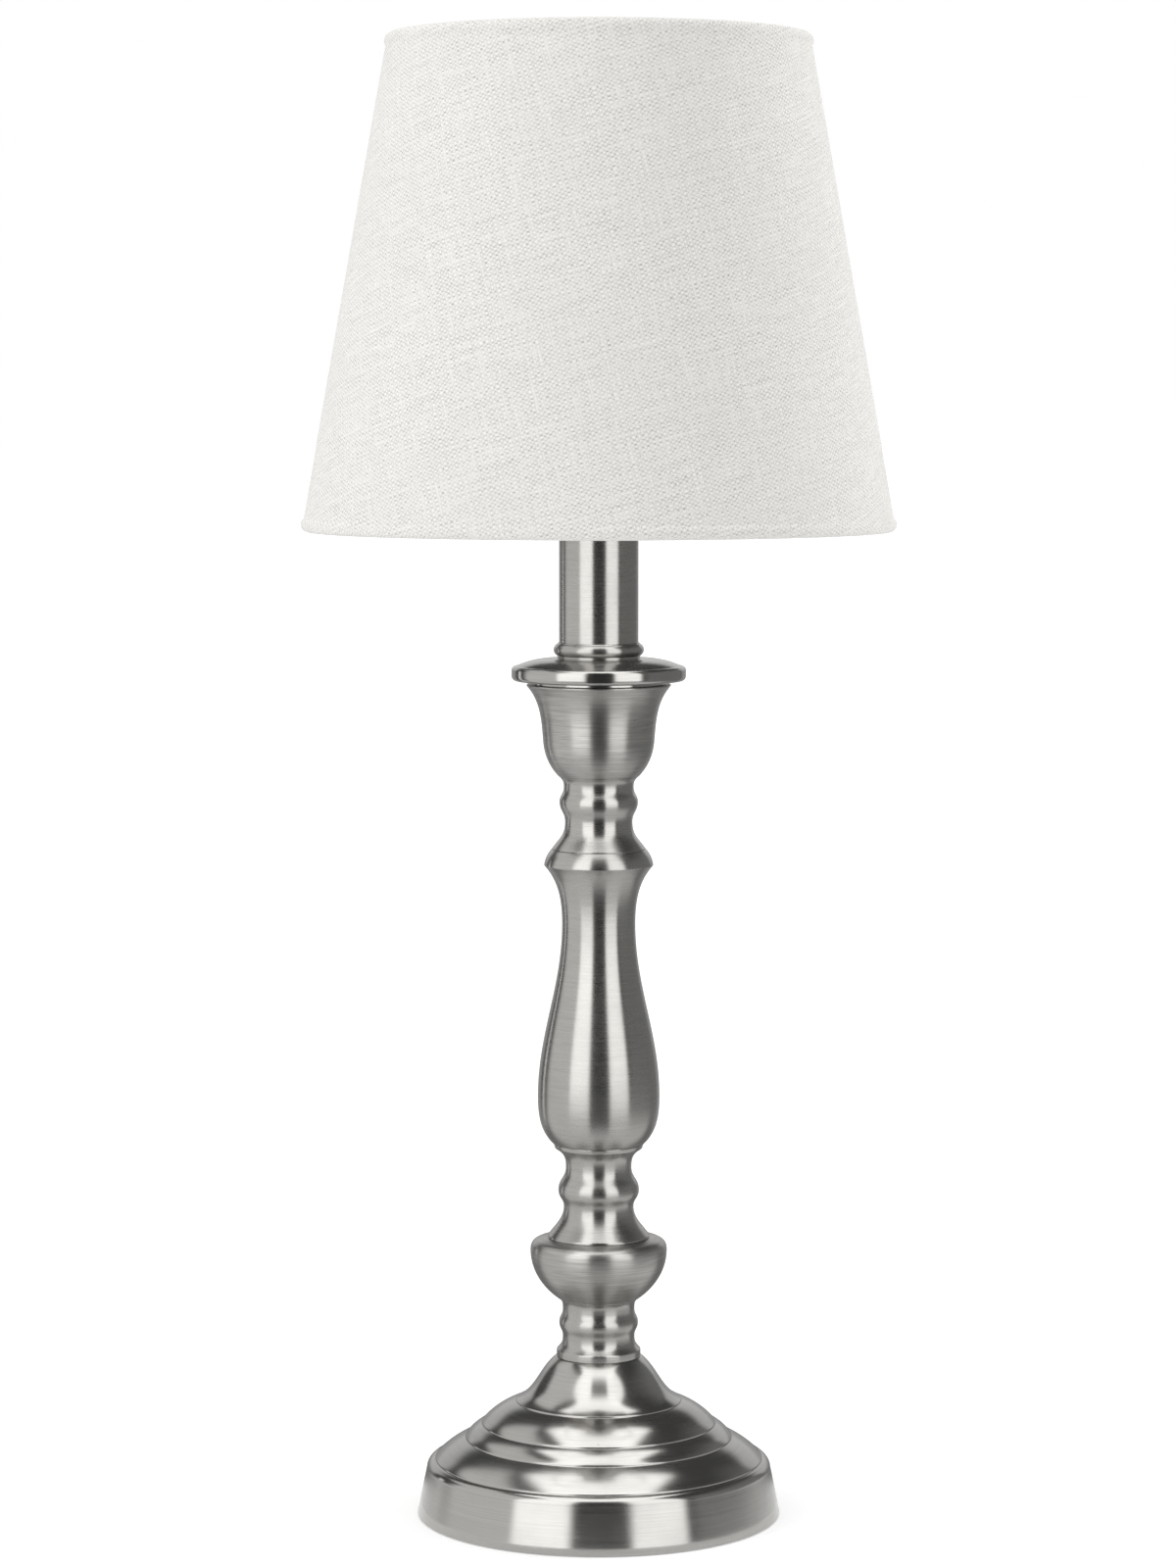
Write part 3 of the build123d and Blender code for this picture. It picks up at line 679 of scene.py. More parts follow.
class Pen:
    """Half section of a turned piece, drawn as (radius, height) runs in millimetres."""

    def __init__(self, radius: float, height: float) -> None:
        """Sets the pen down.

        Args:
            radius: the first point's radius.
            height: the first point's height.
        """
        self.start = Vector((radius, height))
        self.at = self.start
        self.runs: list[list[Vector]] = []

    def add(self, points: list[Vector]) -> "Pen":
        """Adds one run.

        Args:
            points: the run's points, from where the pen is.

        Returns:
            The pen.
        """
        self.runs.append(points)
        self.at = points[-1]
        return self

    def line(self, radius: float, height: float) -> "Pen":
        """Draws a straight run.

        Args:
            radius: the end's radius.
            height: the end's height.

        Returns:
            The pen.
        """
        end = Vector((radius, height))
        span = (end - self.at).length
        edge = min(LINE_EDGE / span, LINE_EDGE_SHARE)
        inner = np.linspace(edge, 1 - edge, max(2, math.ceil(span / LINE_STEP) + 1))
        return self.add([self.at.lerp(end, share) for share in (0.0, *inner, 1.0)])

    def arc(self, radius: float, height: float, swell: float) -> "Pen":
        """Draws a round run.

        Args:
            radius: the end's radius.
            height: the end's height.
            swell: the run's rise over its chord, outwards where it climbs.

        Returns:
            The pen.
        """
        end = Vector((radius, height))
        run = end - self.at
        bend = (run.length_squared / 4 + swell ** 2) / (2 * swell)
        out = Vector((run.y, -run.x)).normalized()
        centre = self.at + run / 2 + out * (swell - bend)
        turn = 4 * math.atan(2 * swell / run.length)
        count = max(CURVE_POINTS, math.ceil(abs(turn * bend) / CURVE_STEP))
        first = math.atan2(self.at.y - centre.y, self.at.x - centre.x)
        angles = [first + turn * number / count for number in range(count + 1)]
        spots = [centre + abs(bend) * Vector((math.cos(a), math.sin(a))) for a in angles]
        return self.add([self.at, *spots[1:-1], end])

    def sweep(
        self, radius: float, height: float, leave: float = 0, arrive: float = 0, pull: float = FULL_PULL
    ) -> "Pen":
        """Draws a smooth run.

        Args:
            radius: the end's radius.
            height: the end's height.
            leave: angle at its start, in degrees outwards from straight up.
            arrive: angle at its end.
            pull: length of its two handles, as a share of its chord.

        Returns:
            The pen.
        """
        start, end = self.at, Vector((radius, height))
        handle = (end - start).length * pull
        first = start + handle * Vector((math.sin(math.radians(leave)), math.cos(math.radians(leave))))
        last = end - handle * Vector((math.sin(math.radians(arrive)), math.cos(math.radians(arrive))))
        count = max(CURVE_POINTS, math.ceil((end - start).length * SWEEP_SLACK / CURVE_STEP))
        points = []
        for number in range(count + 1):
            t = number / count
            s = 1 - t
            points.append(start * s ** 3 + first * (3 * s * s * t) + last * (3 * s * t * t) + end * t ** 3)
        return self.add(points)

    def points(self, soft: float, closed: bool) -> list[Vector]:
        """Joins the runs into one outline.

        Args:
            soft: reach of the rounding at each corner, in millimetres.
            closed: whether the outline returns to its start.

        Returns:
            The outline's points, the last not repeating the first.
        """
        if closed and (self.at - self.start).length > SAME_SPOT:
            self.line(*self.start)
        lengths = [sum((b - a).length for a, b in zip(run, run[1:])) for run in self.runs]
        count = len(self.runs)
        cuts = [0.0] * count
        for number in range(count if closed else count - 1):
            following = (number + 1) % count
            before, after = self.runs[number], self.runs[following]
            turn = (before[-1] - before[-2]).angle(after[1] - after[0])
            if turn > CORNER_TURN:
                cuts[number] = min(soft, CORNER_SHARE * lengths[number], CORNER_SHARE * lengths[following])
        outline: list[Vector] = []
        for number, run in enumerate(self.runs):
            part = trimmed(run, cuts[number - 1] if number or closed else 0.0, cuts[number])
            outline.extend(part if not outline else part[1:] if cuts[number - 1] == 0 else part)
            if cuts[number]:
                landing = trimmed(self.runs[(number + 1) % count], cuts[number], 0.0)[0]
                outline.extend(rounded(part[-1], run[-1], landing))
        before = [outline[-1], *outline[:-1]]
        return [spot for spot, last in zip(outline, before) if (spot - last).length > SAME_SPOT]


def trimmed(run: list[Vector], head: float, tail: float) -> list[Vector]:
    """Takes a length off each end of a run.

    Args:
        run: the run's points.
        head: the length off its start.
        tail: the length off its end.

    Returns:
        The points that are left.
    """

    def shorten(points: list[Vector], loss: float) -> list[Vector]:
        """Takes a length off the start of some points.

        Args:
            points: the points.
            loss: the length.

        Returns:
            The points that are left.
        """
        for number in range(len(points) - 1):
            step = (points[number + 1] - points[number]).length
            if loss < step:
                return [points[number].lerp(points[number + 1], loss / step), *points[number + 1:]]
            loss -= step
        return points[-2:]

    if head:
        run = shorten(run, head)
    if tail:
        run = shorten(run[::-1], tail)[::-1]
    return run


def rounded(start: Vector, corner: Vector, end: Vector) -> list[Vector]:
    """Returns the points of a rounded corner, without its ends."""
    shares = [number / CORNER_POINTS for number in range(1, CORNER_POINTS)]
    return [start.lerp(corner, t).lerp(corner.lerp(end, t), t) for t in shares]


def ring_section(inner: float, outer: float, height: float) -> Pen:
    """Returns the section of a plain ring, or of a disc where the inner radius is 0."""
    return Pen(inner, 0).line(outer, 0).line(outer, height).line(inner, height)


def smoothed(mesh: bpy.types.Mesh) -> bpy.types.Mesh:
    """Returns the mesh with smooth shading."""
    mesh.polygons.foreach_set("use_smooth", [True] * len(mesh.polygons))
    return mesh


def new_object(name: str, mesh: bpy.types.Mesh) -> Object:
    """Links a mesh to the scene.

    Args:
        name: the object's name.
        mesh: the mesh, which becomes smooth-shaded.

    Returns:
        The new object.
    """
    made = bpy.data.objects.new(name, smoothed(mesh))
    bpy.context.scene.collection.objects.link(made)
    return made


def lattice(bands: int, rows: int, columns: int) -> tuple[np.ndarray, np.ndarray, np.ndarray]:
    """Numbers the faces between rings of points.

    Args:
        bands: rows of faces; with one for each ring, the last returns to the first ring.
        rows: rings of points.
        columns: points in a ring.

    Returns:
        Each face's ring, its place in the ring, and its four points.
    """
    low, near = np.meshgrid(np.arange(bands), np.arange(columns), indexing="ij")
    high, far = (low + 1) % rows, (near + 1) % columns
    corners = ((low, near), (low, far), (high, far), (high, near))
    return low, near, np.stack([ring * columns + spot for ring, spot in corners], axis=-1)


def turned(
    name: str, pen: Pen, level: float = 0.0, soft: float = 0.3, turns: int | Sequence[float] = 160
) -> Object:
    """Turns a section about the lamp's axis.

    Args:
        name: the piece's name.
        pen: the section; one that starts on the axis ends on it too.
        level: height of the section's zero, in millimetres.
        soft: rounding of its corners, in millimetres.
        turns: number of segments, or their angles.

    Returns:
        A closed mesh with the angle and the distance along the section as its UV map.
    """
    solid = pen.start.x == 0
    outline = np.array(pen.points(soft, not solid))
    angles = np.linspace(0, 2 * math.pi, turns, endpoint=False) if isinstance(turns, int) else np.array(turns)
    rows, columns = len(outline), len(angles)
    place = np.empty((rows, columns, 3))
    place[..., 0] = np.outer(outline[:, 0], np.cos(angles))
    place[..., 1] = np.outer(outline[:, 0], np.sin(angles))
    place[..., 2] = (outline[:, 1] + level)[:, None]
    steps = np.linalg.norm(np.diff(np.vstack([outline, outline[:1]]), axis=0), axis=1)
    along = np.concatenate([[0], np.cumsum(steps)]) * MM
    share = np.append(angles, 2 * math.pi + angles[0]) / (2 * math.pi)
    low, near, faces = lattice(rows - 1 if solid else rows, rows, columns)
    corners = ((near, low), (near + 1, low), (near + 1, low + 1), (near, low + 1))
    chart = np.stack([part for spot, ring in corners for part in (share[spot], along[ring])], axis=-1)
    mesh = bpy.data.meshes.new(name)
    mesh.from_pydata((place.reshape(-1, 3) * MM).tolist(), [], faces.reshape(-1, 4).tolist())
    mesh.uv_layers.new(name=TURNED_UV).data.foreach_set("uv", chart.ravel())
    if solid:
        merge_poles(mesh)
    return new_object(name, mesh)


def merge_poles(mesh: bpy.types.Mesh) -> None:
    """Merges the points that lie together on the axis.

    Args:
        mesh: the mesh of a solid turned piece.
    """
    work = bmesh.new()
    work.from_mesh(mesh)
    on_axis = [v for v in work.verts if v.co.xy.length < POLE_REACH]
    bmesh.ops.remove_doubles(work, verts=on_axis, dist=POLE_REACH)
    work.to_mesh(mesh)
    work.free()


def applied(piece: Object) -> Object:
    """Makes a piece's modifiers part of its mesh.

    Args:
        piece: the piece.

    Returns:
        The piece.
    """
    graph = bpy.context.evaluated_depsgraph_get()
    mesh = bpy.data.meshes.new_from_object(piece.evaluated_get(graph), depsgraph=graph)
    piece.modifiers.clear()
    piece.data = mesh
    return piece


def cut(piece: Object, tool: Object) -> Object:
    """Takes a tool's shape out of a piece.

    Args:
        piece: the piece.
        tool: the tool, which is used up.

    Returns:
        The piece.
    """
    modifier = piece.modifiers.new("cut", "BOOLEAN")
    modifier.operation = "DIFFERENCE"
    modifier.solver = "EXACT"
    modifier.object = tool
    applied(piece)
    bpy.data.objects.remove(tool)
    return piece


def bar(name: str, start: Vector, end: Vector, radius: float) -> Object:
    """Makes a plain round bar to cut with.

    Args:
        name: the tool's name.
        start: one end of its axis, in millimetres.
        end: the other end.
        radius: its radius.

    Returns:
        The tool.
    """
    work = bmesh.new()
    lean = (end - start).to_track_quat("Z", "Y").to_matrix().to_4x4() @ Matrix.Rotation(TOOL_TWIST, 4, "Z")
    bmesh.ops.create_cone(
        work, cap_ends=True, segments=TOOL_SIDES, radius1=radius * MM, radius2=radius * MM,
        depth=(end - start).length * MM,
    )
    lean.translation = (start + end) / 2 * MM
    bmesh.ops.transform(work, matrix=lean, verts=work.verts)
    mesh = bpy.data.meshes.new(name)
    work.to_mesh(mesh)
    work.free()
    return new_object(name, mesh)


class GeometryPen(NodePen):
    """Draws a geometry node tree with named inputs and turns it into plain meshes."""

    prefix = "GeometryNode"

    def __init__(self, name: str, sizes: Sequence[str]) -> None:
        """Makes a tree with an input for each size and one for the finish.

        Args:
            name: the tree's name.
            sizes: its inputs, lengths in metres.
        """
        tree = bpy.data.node_groups.new(name, "GeometryNodeTree")
        super().__init__(tree)
        tree.interface.new_socket("Geometry", in_out="OUTPUT", socket_type="NodeSocketGeometry")
        for size in sizes:
            tree.interface.new_socket(size, in_out="INPUT", socket_type="NodeSocketFloat")
        tree.interface.new_socket("Finish", in_out="INPUT", socket_type="NodeSocketMaterial")
        self.source = tree.nodes.new("NodeGroupInput")
        self.end = tree.nodes.new("NodeGroupOutput")

    def size(self, name: str) -> Socket:
        """Returns one of the tree's inputs."""
        return self.source.outputs[name]

    def finish(self, shape: Socket) -> None:
        """Ends the tree in real meshes with the finish on them.

        Args:
            shape: the shape to end in.
        """
        real = self.node("RealizeInstances", {"Geometry": shape})
        dressed = self.node("SetMaterial", {"Geometry": real, "Material": self.size("Finish")})
        self.plug(self.end.inputs[0], dressed)

    def piece(self, name: str, finish: Finish, **sizes: float) -> Object:
        """Runs the tree.

        Args:
            name: the new piece's name.
            finish: the finish put on it.
            sizes: the tree's inputs, lengths in millimetres with _mm in their names.

        Returns:
            A plain mesh object.
        """
        made = new_object(name, bpy.data.meshes.new(name))
        modifier = made.modifiers.new("rule", "NODES")
        modifier.node_group = self.tree
        values: dict[str, Any] = {"Finish": finish.material()}
        for key, size in sizes.items():
            values[key.removesuffix("_mm")] = size * (MM if key.endswith("_mm") else 1)
        for item in self.tree.interface.items_tree:
            if item.in_out == "INPUT":
                modifier[item.identifier] = values[item.name]
        smoothed(applied(made).data)
        return made


def rib_tree(sides: int = 14) -> GeometryPen:
    """Draws the rule for round ribs set upright on a circle.

    Args:
        sides: faces round a rib.

    Returns:
        The tree's pen.
    """
    pen = GeometryPen("RibRing", ["circle", "count", "rib", "height", "bottom"])
    ring = pen.node("MeshCircle", {"Vertices": pen.size("count"), "Radius": pen.size("circle")})
    rib = pen.node("MeshCylinder", {
        "Vertices": sides, "Side Segments": 1, "Radius": pen.size("rib"), "Depth": pen.size("height"),
    })
    ribs = pen.node("InstanceOnPoints", {"Points": ring, "Instance": rib})
    middle = pen.maths("ADD", pen.size("bottom"), pen.maths("MULTIPLY", pen.size("height"), 0.5))
    pen.finish(pen.node("Transform", {"Geometry": ribs, "Translation": pen.join(z=middle)}))
    return pen


def arm_tree(sides: int = 24) -> GeometryPen:
    """Draws the rule for straight wire arms set round the axis.

    Args:
        sides: faces round a wire.

    Returns:
        The tree's pen.
    """
    pen = GeometryPen("SpiderArms", ["count", "wire", "inner", "inner_level", "outer", "outer_level"])
    start = pen.join(y=pen.size("inner"), z=pen.size("inner_level"))
    end = pen.join(y=pen.size("outer"), z=pen.size("outer_level"))
    path = pen.node("CurvePrimitiveLine", {"Start": start, "End": end})
    section = pen.node("CurvePrimitiveCircle", {"Resolution": sides, "Radius": pen.size("wire")})
    arm = pen.node("CurveToMesh", {"Curve": path, "Profile Curve": section, "Fill Caps": True})
    spots = pen.node("Points", {"Count": pen.size("count")})
    step = pen.maths("DIVIDE", 2 * math.pi, pen.size("count"))
    turn = pen.join(z=pen.maths("MULTIPLY", pen.node("InputIndex"), step))
    pen.finish(pen.node("InstanceOnPoints", {"Points": spots, "Instance": arm, "Rotation": turn}))
    return pen


def thread_tree(sides: int = 10, steps: int = 40) -> GeometryPen:
    """Draws the rule for a rolled thread: a round ridge wound up a barrel.

    Args:
        sides: faces round the ridge.
        steps: points to a turn.

    Returns:
        The tree's pen.
    """
    pen = GeometryPen("RolledThread", ["barrel", "pitch", "turns", "ridge", "bottom"])
    rise = pen.maths("MULTIPLY", pen.size("pitch"), pen.size("turns"))
    winding = pen.node("CurveSpiral", {
        "Resolution": steps, "Rotations": pen.size("turns"), "Start Radius": pen.size("barrel"),
        "End Radius": pen.size("barrel"), "Height": rise,
    })
    section = pen.node("CurvePrimitiveCircle", {"Resolution": sides, "Radius": pen.size("ridge")})
    ridge = pen.node("CurveToMesh", {"Curve": winding, "Profile Curve": section, "Fill Caps": True})
    pen.finish(pen.node("Transform", {"Geometry": ridge, "Translation": pen.join(z=pen.size("bottom"))}))
    return pen


def level_of(node: str) -> float:
    """Returns the height of a CAD node's lowest point, in millimetres."""
    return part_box(node)[0].z / MM


def top_of(node: str) -> float:
    """Returns the height of a CAD node's highest point, in millimetres."""
    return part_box(node)[1].z / MM


def height_of(node: str) -> float:
    """Returns a CAD node's own height, in millimetres."""
    return top_of(node) - level_of(node)


class SubAssembly:
    """Pieces of the lamp that are built and dressed together."""

    def fit(self, piece: Object, finish: Finish, body: Body, *nodes: str) -> Object:
        """Dresses a new piece and puts it on its body.

        Args:
            piece: the new piece.
            finish: its finish.
            body: the body it rides on.
            nodes: the CAD nodes it stands for.

        Returns:
            The piece.
        """
        piece.data.materials.clear()
        piece.data.materials.append(finish.material())
        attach(piece, body.value)
        if nodes:
            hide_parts(*nodes)
        LOG.info("%s on %s in %s", piece.name, body.value, finish.name)
        return piece

    def dress(self, finish: Finish, *nodes: str) -> None:
        """Gives CAD nodes that stay a finish.

        Args:
            finish: the finish.
            nodes: the nodes.
        """
        for node in nodes:
            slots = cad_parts[node].data.materials
            slots.clear()
            slots.append(finish.material())
            LOG.info("%s stays, in %s", node, finish.name)


@dataclass
class Base(SubAssembly):
    """Spun and stepped base with its ballast, felt and cable outlet."""

    rod_bore: float = 5.25
    radius: float = 61.5
    wall: float = 1.2
    rim_lift: float = 0.4
    skirt_height: float = 15.6
    skirt_taper: float = 3.2
    lip_rise: float = 2.9
    lip_inset: float = 2.9
    lip_swell: float = 0.8
    cushion_rise: float = 7.2
    cushion_top: float = 45.1
    cushion_swell: float = 0.65
    step_rise: float = 4.8
    step_top: float = 39.6
    step_swell: float = 0.5
    shoulder_rise: float = 7.7
    shoulder_top: float = 28.0
    shoulder_swell: float = 1.0
    bell_rise: float = 15.3
    bell_top: float = 14.6
    bell_foot_angle: float = -65
    bell_top_angle: float = -52
    ring_edge: float = 0.45
    crease: float = 0.25
    shell_turns: int = 256
    outlet_level: float = 9.4
    outlet_bore: float = 4.5
    felt_edge: float = 0.5
    felt_turns: int = 128

    def side(self, inset: float) -> Pen:
        """Draws up the base from its rim to the rod.

        Args:
            inset: how far the line is drawn in, for the inside of the wall.

        Returns:
            The pen, at the rod.
        """
        lip_top = self.rim_lift + self.skirt_height + self.lip_rise
        shoulder_level = lip_top + self.cushion_rise + self.step_rise + self.shoulder_rise
        lip_radius = self.radius - self.skirt_taper - self.lip_inset
        slope = Vector((shoulder_level - lip_top, lip_radius - self.shoulder_top)).normalized() * inset
        seat = shoulder_level + self.bell_rise - inset
        pen = Pen(self.radius - inset, self.rim_lift)
        pen.line(self.radius - self.skirt_taper - inset, self.rim_lift + self.skirt_height)
        height = lip_top
        pen.arc(lip_radius - slope.x, height - slope.y, self.lip_swell)
        rings = [
            (self.cushion_rise, self.cushion_top, self.cushion_swell),
            (self.step_rise, self.step_top, self.step_swell),
            (self.shoulder_rise, self.shoulder_top, self.shoulder_swell),
        ]
        for rise, radius, swell in rings:
            pen.line(pen.at.x, height + self.ring_edge - slope.y)
            height += rise
            pen.arc(radius - slope.x, height - slope.y, swell)
        pen.line(pen.at.x, height + self.ring_edge - slope.y)
        pen.sweep(self.bell_top - slope.x, seat, self.bell_foot_angle, self.bell_top_angle, SLACK_PULL)
        return pen.line(self.rod_bore, seat)

    def shell(self) -> Object:
        """Spins the shell and drills its cable hole.

        Returns:
            The new piece.
        """
        outside, inside = self.side(0), self.side(self.wall)
        outside.line(*inside.at)
        for run in reversed(inside.runs):
            outside.add(run[::-1])
        shell = turned("base_spun_shell", outside, soft=self.crease, turns=self.shell_turns)
        start = Vector((0, self.radius / 2, self.outlet_level))
        end = Vector((0, self.radius + self.wall, self.outlet_level))
        return cut(shell, bar("outlet_cutter", start, end, self.outlet_bore))

    def build(self) -> None:
        """Builds the base and dresses its CAD nodes."""
        self.fit(self.shell(), FINISHES.base, Body.LAMP, "base_shell")
        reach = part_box("felt_pad")[1].x
        disc = ring_section(0, reach / MM, top_of("felt_pad"))
        felt = turned("base_felt", disc, soft=self.felt_edge, turns=self.felt_turns)
        self.fit(felt, FINISHES.felt, Body.LAMP, "felt_pad")
        self.dress(FINISHES.bush, "cable_bush")
        self.dress(FINISHES.board, "bottom_disc")
        self.dress(FINISHES.iron, "base_weight")
        self.dress(FINISHES.zinc, "base_washer", "base_nut")


@dataclass
class Stem(SubAssembly):
    """Six turned pieces threaded on one rod, each outline given by (radius, height) spots."""

    rod_bore: float = 5.25
    spigot_radius: float = 8.0
    spigot_length: float = 2.0
    spigot_end_gap: float = 0.3
    slip_gap: float = 0.1
    soft: float = 0.3
    turns: int = 192
    foot_land: Spot = (14.2, 2.5)
    foot_flare_angle: float = -45
    foot_lower_cove: Spot = (12.15, 7.0)
    foot_bead: Spot = (13.35, 11.7)
    foot_upper_cove: Spot = (12.15, 16.1)
    foot_top: Spot = (13.4, 20.0)
    foot_top_angle: float = 45
    knop_bottom: float = 13.6
    knop_bowl_angle: float = 55
    knop_widest: Spot = (23.1, 16.6)
    knop_shoulder: Spot = (20.2, 20.2)
    knop_shoulder_angle: float = -81
    knop_top: Spot = (17.2, 20.7)
    lower_neck_land: Spot = (17.2, 0.8)
    lower_neck_flare_angle: float = -37
    lower_neck_cove: Spot = (11.8, 10.6)
    lower_neck_bead: Spot = (13.65, 16.2)
    lower_neck_throat: Spot = (11.1, 24.0)
    lower_neck_lip: Spot = (14.8, 30.6)
    lower_neck_lip_angle: float = 60
    lower_neck_top: Spot = (15.2, 32.1)
    baluster_bottom: float = 15.3
    baluster_bottom_angle: float = 48
    baluster_belly: Spot = (20.55, 16.0)
    baluster_waist: Spot = (12.35, 74.6)
    baluster_collar: Spot = (18.35, 94.4)
    baluster_collar_angle: float = 42
    baluster_collar_land: Spot = (18.35, 94.8)
    baluster_top: Spot = (15.9, 99.9)
    baluster_top_swell: float = 0.4
    upper_neck_foot: float = 15.9
    upper_neck_flare_angle: float = -35
    upper_neck_cove: Spot = (11.35, 9.2)
    upper_neck_bead: Spot = (13.2, 15.9)
    upper_neck_throat: Spot = (11.75, 20.9)
    upper_neck_top: Spot = (13.3, 24.4)
    upper_neck_top_angle: float = 46
    cup_bottom: float = 13.4
    cup_bottom_angle: float = 44
    cup_body: Spot = (18.7, 12.0)
    cup_body_angle: float = 4.6
    cup_lip: Spot = (24.2, 30.5)
    cup_lip_angle: float = 42
    cup_height: float = 31.0
    cup_bore: float = 16.3
    cup_floor: float = 9.0

    def from_spigot(self, radius: float) -> Pen:
        """Returns a section begun with the spigot under it, out to a radius on its lower face."""
        pen = Pen(self.rod_bore, -self.spigot_length).line(self.spigot_radius, -self.spigot_length)
        return pen.line(self.spigot_radius, 0).line(radius, 0)

    def to_socket(self, pen: Pen) -> Pen:
        """Ends a section with the recess in its top for the next piece's spigot.

        Args:
            pen: the section, drawn to its top.

        Returns:
            The pen.
        """
        reach, top = self.spigot_radius + self.slip_gap, pen.at.y
        floor = top - self.spigot_length - self.spigot_end_gap
        return pen.line(reach, top).line(reach, floor).line(self.rod_bore, floor)

    def foot_collar(self) -> Pen:
        """Draws the short land, two coves and a bead.

        Returns:
            The section.
        """
        radius, land = self.foot_land
        pen = Pen(self.rod_bore, 0).line(radius, 0).line(radius, land)
        pen.sweep(*self.foot_lower_cove, leave=self.foot_flare_angle)
        pen.sweep(*self.foot_bead).sweep(*self.foot_upper_cove)
        return self.to_socket(pen.sweep(*self.foot_top, arrive=self.foot_top_angle))

    def knop_bowl(self) -> Pen:
        """Draws the bowl, widest near its top, with a rounded shoulder.

        Returns:
            The section.
        """
        pen = self.from_spigot(self.knop_bottom)
        pen.sweep(*self.knop_widest, leave=self.knop_bowl_angle, pull=SLACK_PULL)
        pen.sweep(*self.knop_shoulder, arrive=self.knop_shoulder_angle)
        return self.to_socket(pen.line(*self.knop_top))

    def lower_neck(self) -> Pen:
        """Draws the flared foot, cove, sharp bead, throat and lip.

        Returns:
            The section.
        """
        pen = self.from_spigot(self.lower_neck_land[0]).line(*self.lower_neck_land)
        pen.sweep(*self.lower_neck_cove, leave=self.lower_neck_flare_angle, pull=SLACK_PULL)
        pen.sweep(*self.lower_neck_bead).sweep(*self.lower_neck_throat)
        pen.sweep(*self.lower_neck_lip, arrive=self.lower_neck_lip_angle)
        return self.to_socket(pen.line(*self.lower_neck_top))

    def baluster(self) -> Pen:
        """Draws the long vase: full belly low down, slim waist and a sharp collar.

        Returns:
            The section.
        """
        pen = self.from_spigot(self.baluster_bottom)
        pen.sweep(*self.baluster_belly, leave=self.baluster_bottom_angle, pull=SLACK_PULL)
        pen.sweep(*self.baluster_waist, pull=SLACK_PULL)
        pen.sweep(*self.baluster_collar, arrive=self.baluster_collar_angle, pull=SLACK_PULL)
        pen.line(*self.baluster_collar_land)
        return self.to_socket(pen.arc(*self.baluster_top, self.baluster_top_swell))

    def upper_neck(self) -> Pen:
        """Draws the flared foot, cove, bead and throat.

        Returns:
            The section.
        """
        pen = self.from_spigot(self.upper_neck_foot)
        pen.sweep(*self.upper_neck_cove, leave=self.upper_neck_flare_angle)
        pen.sweep(*self.upper_neck_bead).sweep(*self.upper_neck_throat)
        return self.to_socket(pen.sweep(*self.upper_neck_top, arrive=self.upper_neck_top_angle))

    def candle_cup(self) -> Pen:
        """Draws the hollow cup: rounded underside, straight body and a flared lip.

        Returns:
            The section.
        """
        pen = self.from_spigot(self.cup_bottom)
        pen.sweep(*self.cup_body, self.cup_bottom_angle, self.cup_body_angle, SLACK_PULL)
        pen.sweep(*self.cup_lip, self.cup_body_angle, self.cup_lip_angle, SLACK_PULL)
        pen.line(self.cup_lip[0], self.cup_height).line(self.cup_bore, self.cup_height)
        return pen.line(self.cup_bore, self.cup_floor).line(self.rod_bore, self.cup_floor)

    def build(self) -> None:
        """Builds the turned pieces, each hung from its top, and dresses the rod."""
        matt = (self.knop_bowl, self.candle_cup)
        sections = (
            self.foot_collar, self.knop_bowl, self.lower_neck,
            self.baluster, self.upper_neck, self.candle_cup,
        )
        for draw in sections:
            node = draw.__name__
            pen = draw()
            height = max(point.y for run in pen.runs for point in run)
            piece = turned("turned_" + node, pen, top_of(node) - height, self.soft, self.turns)
            self.fit(piece, FINISHES.cup if draw in matt else FINISHES.stem, Body.LAMP, node)
        self.dress(FINISHES.zinc, "threaded_rod", "stem_washer", "stem_nut", "holder_nut")


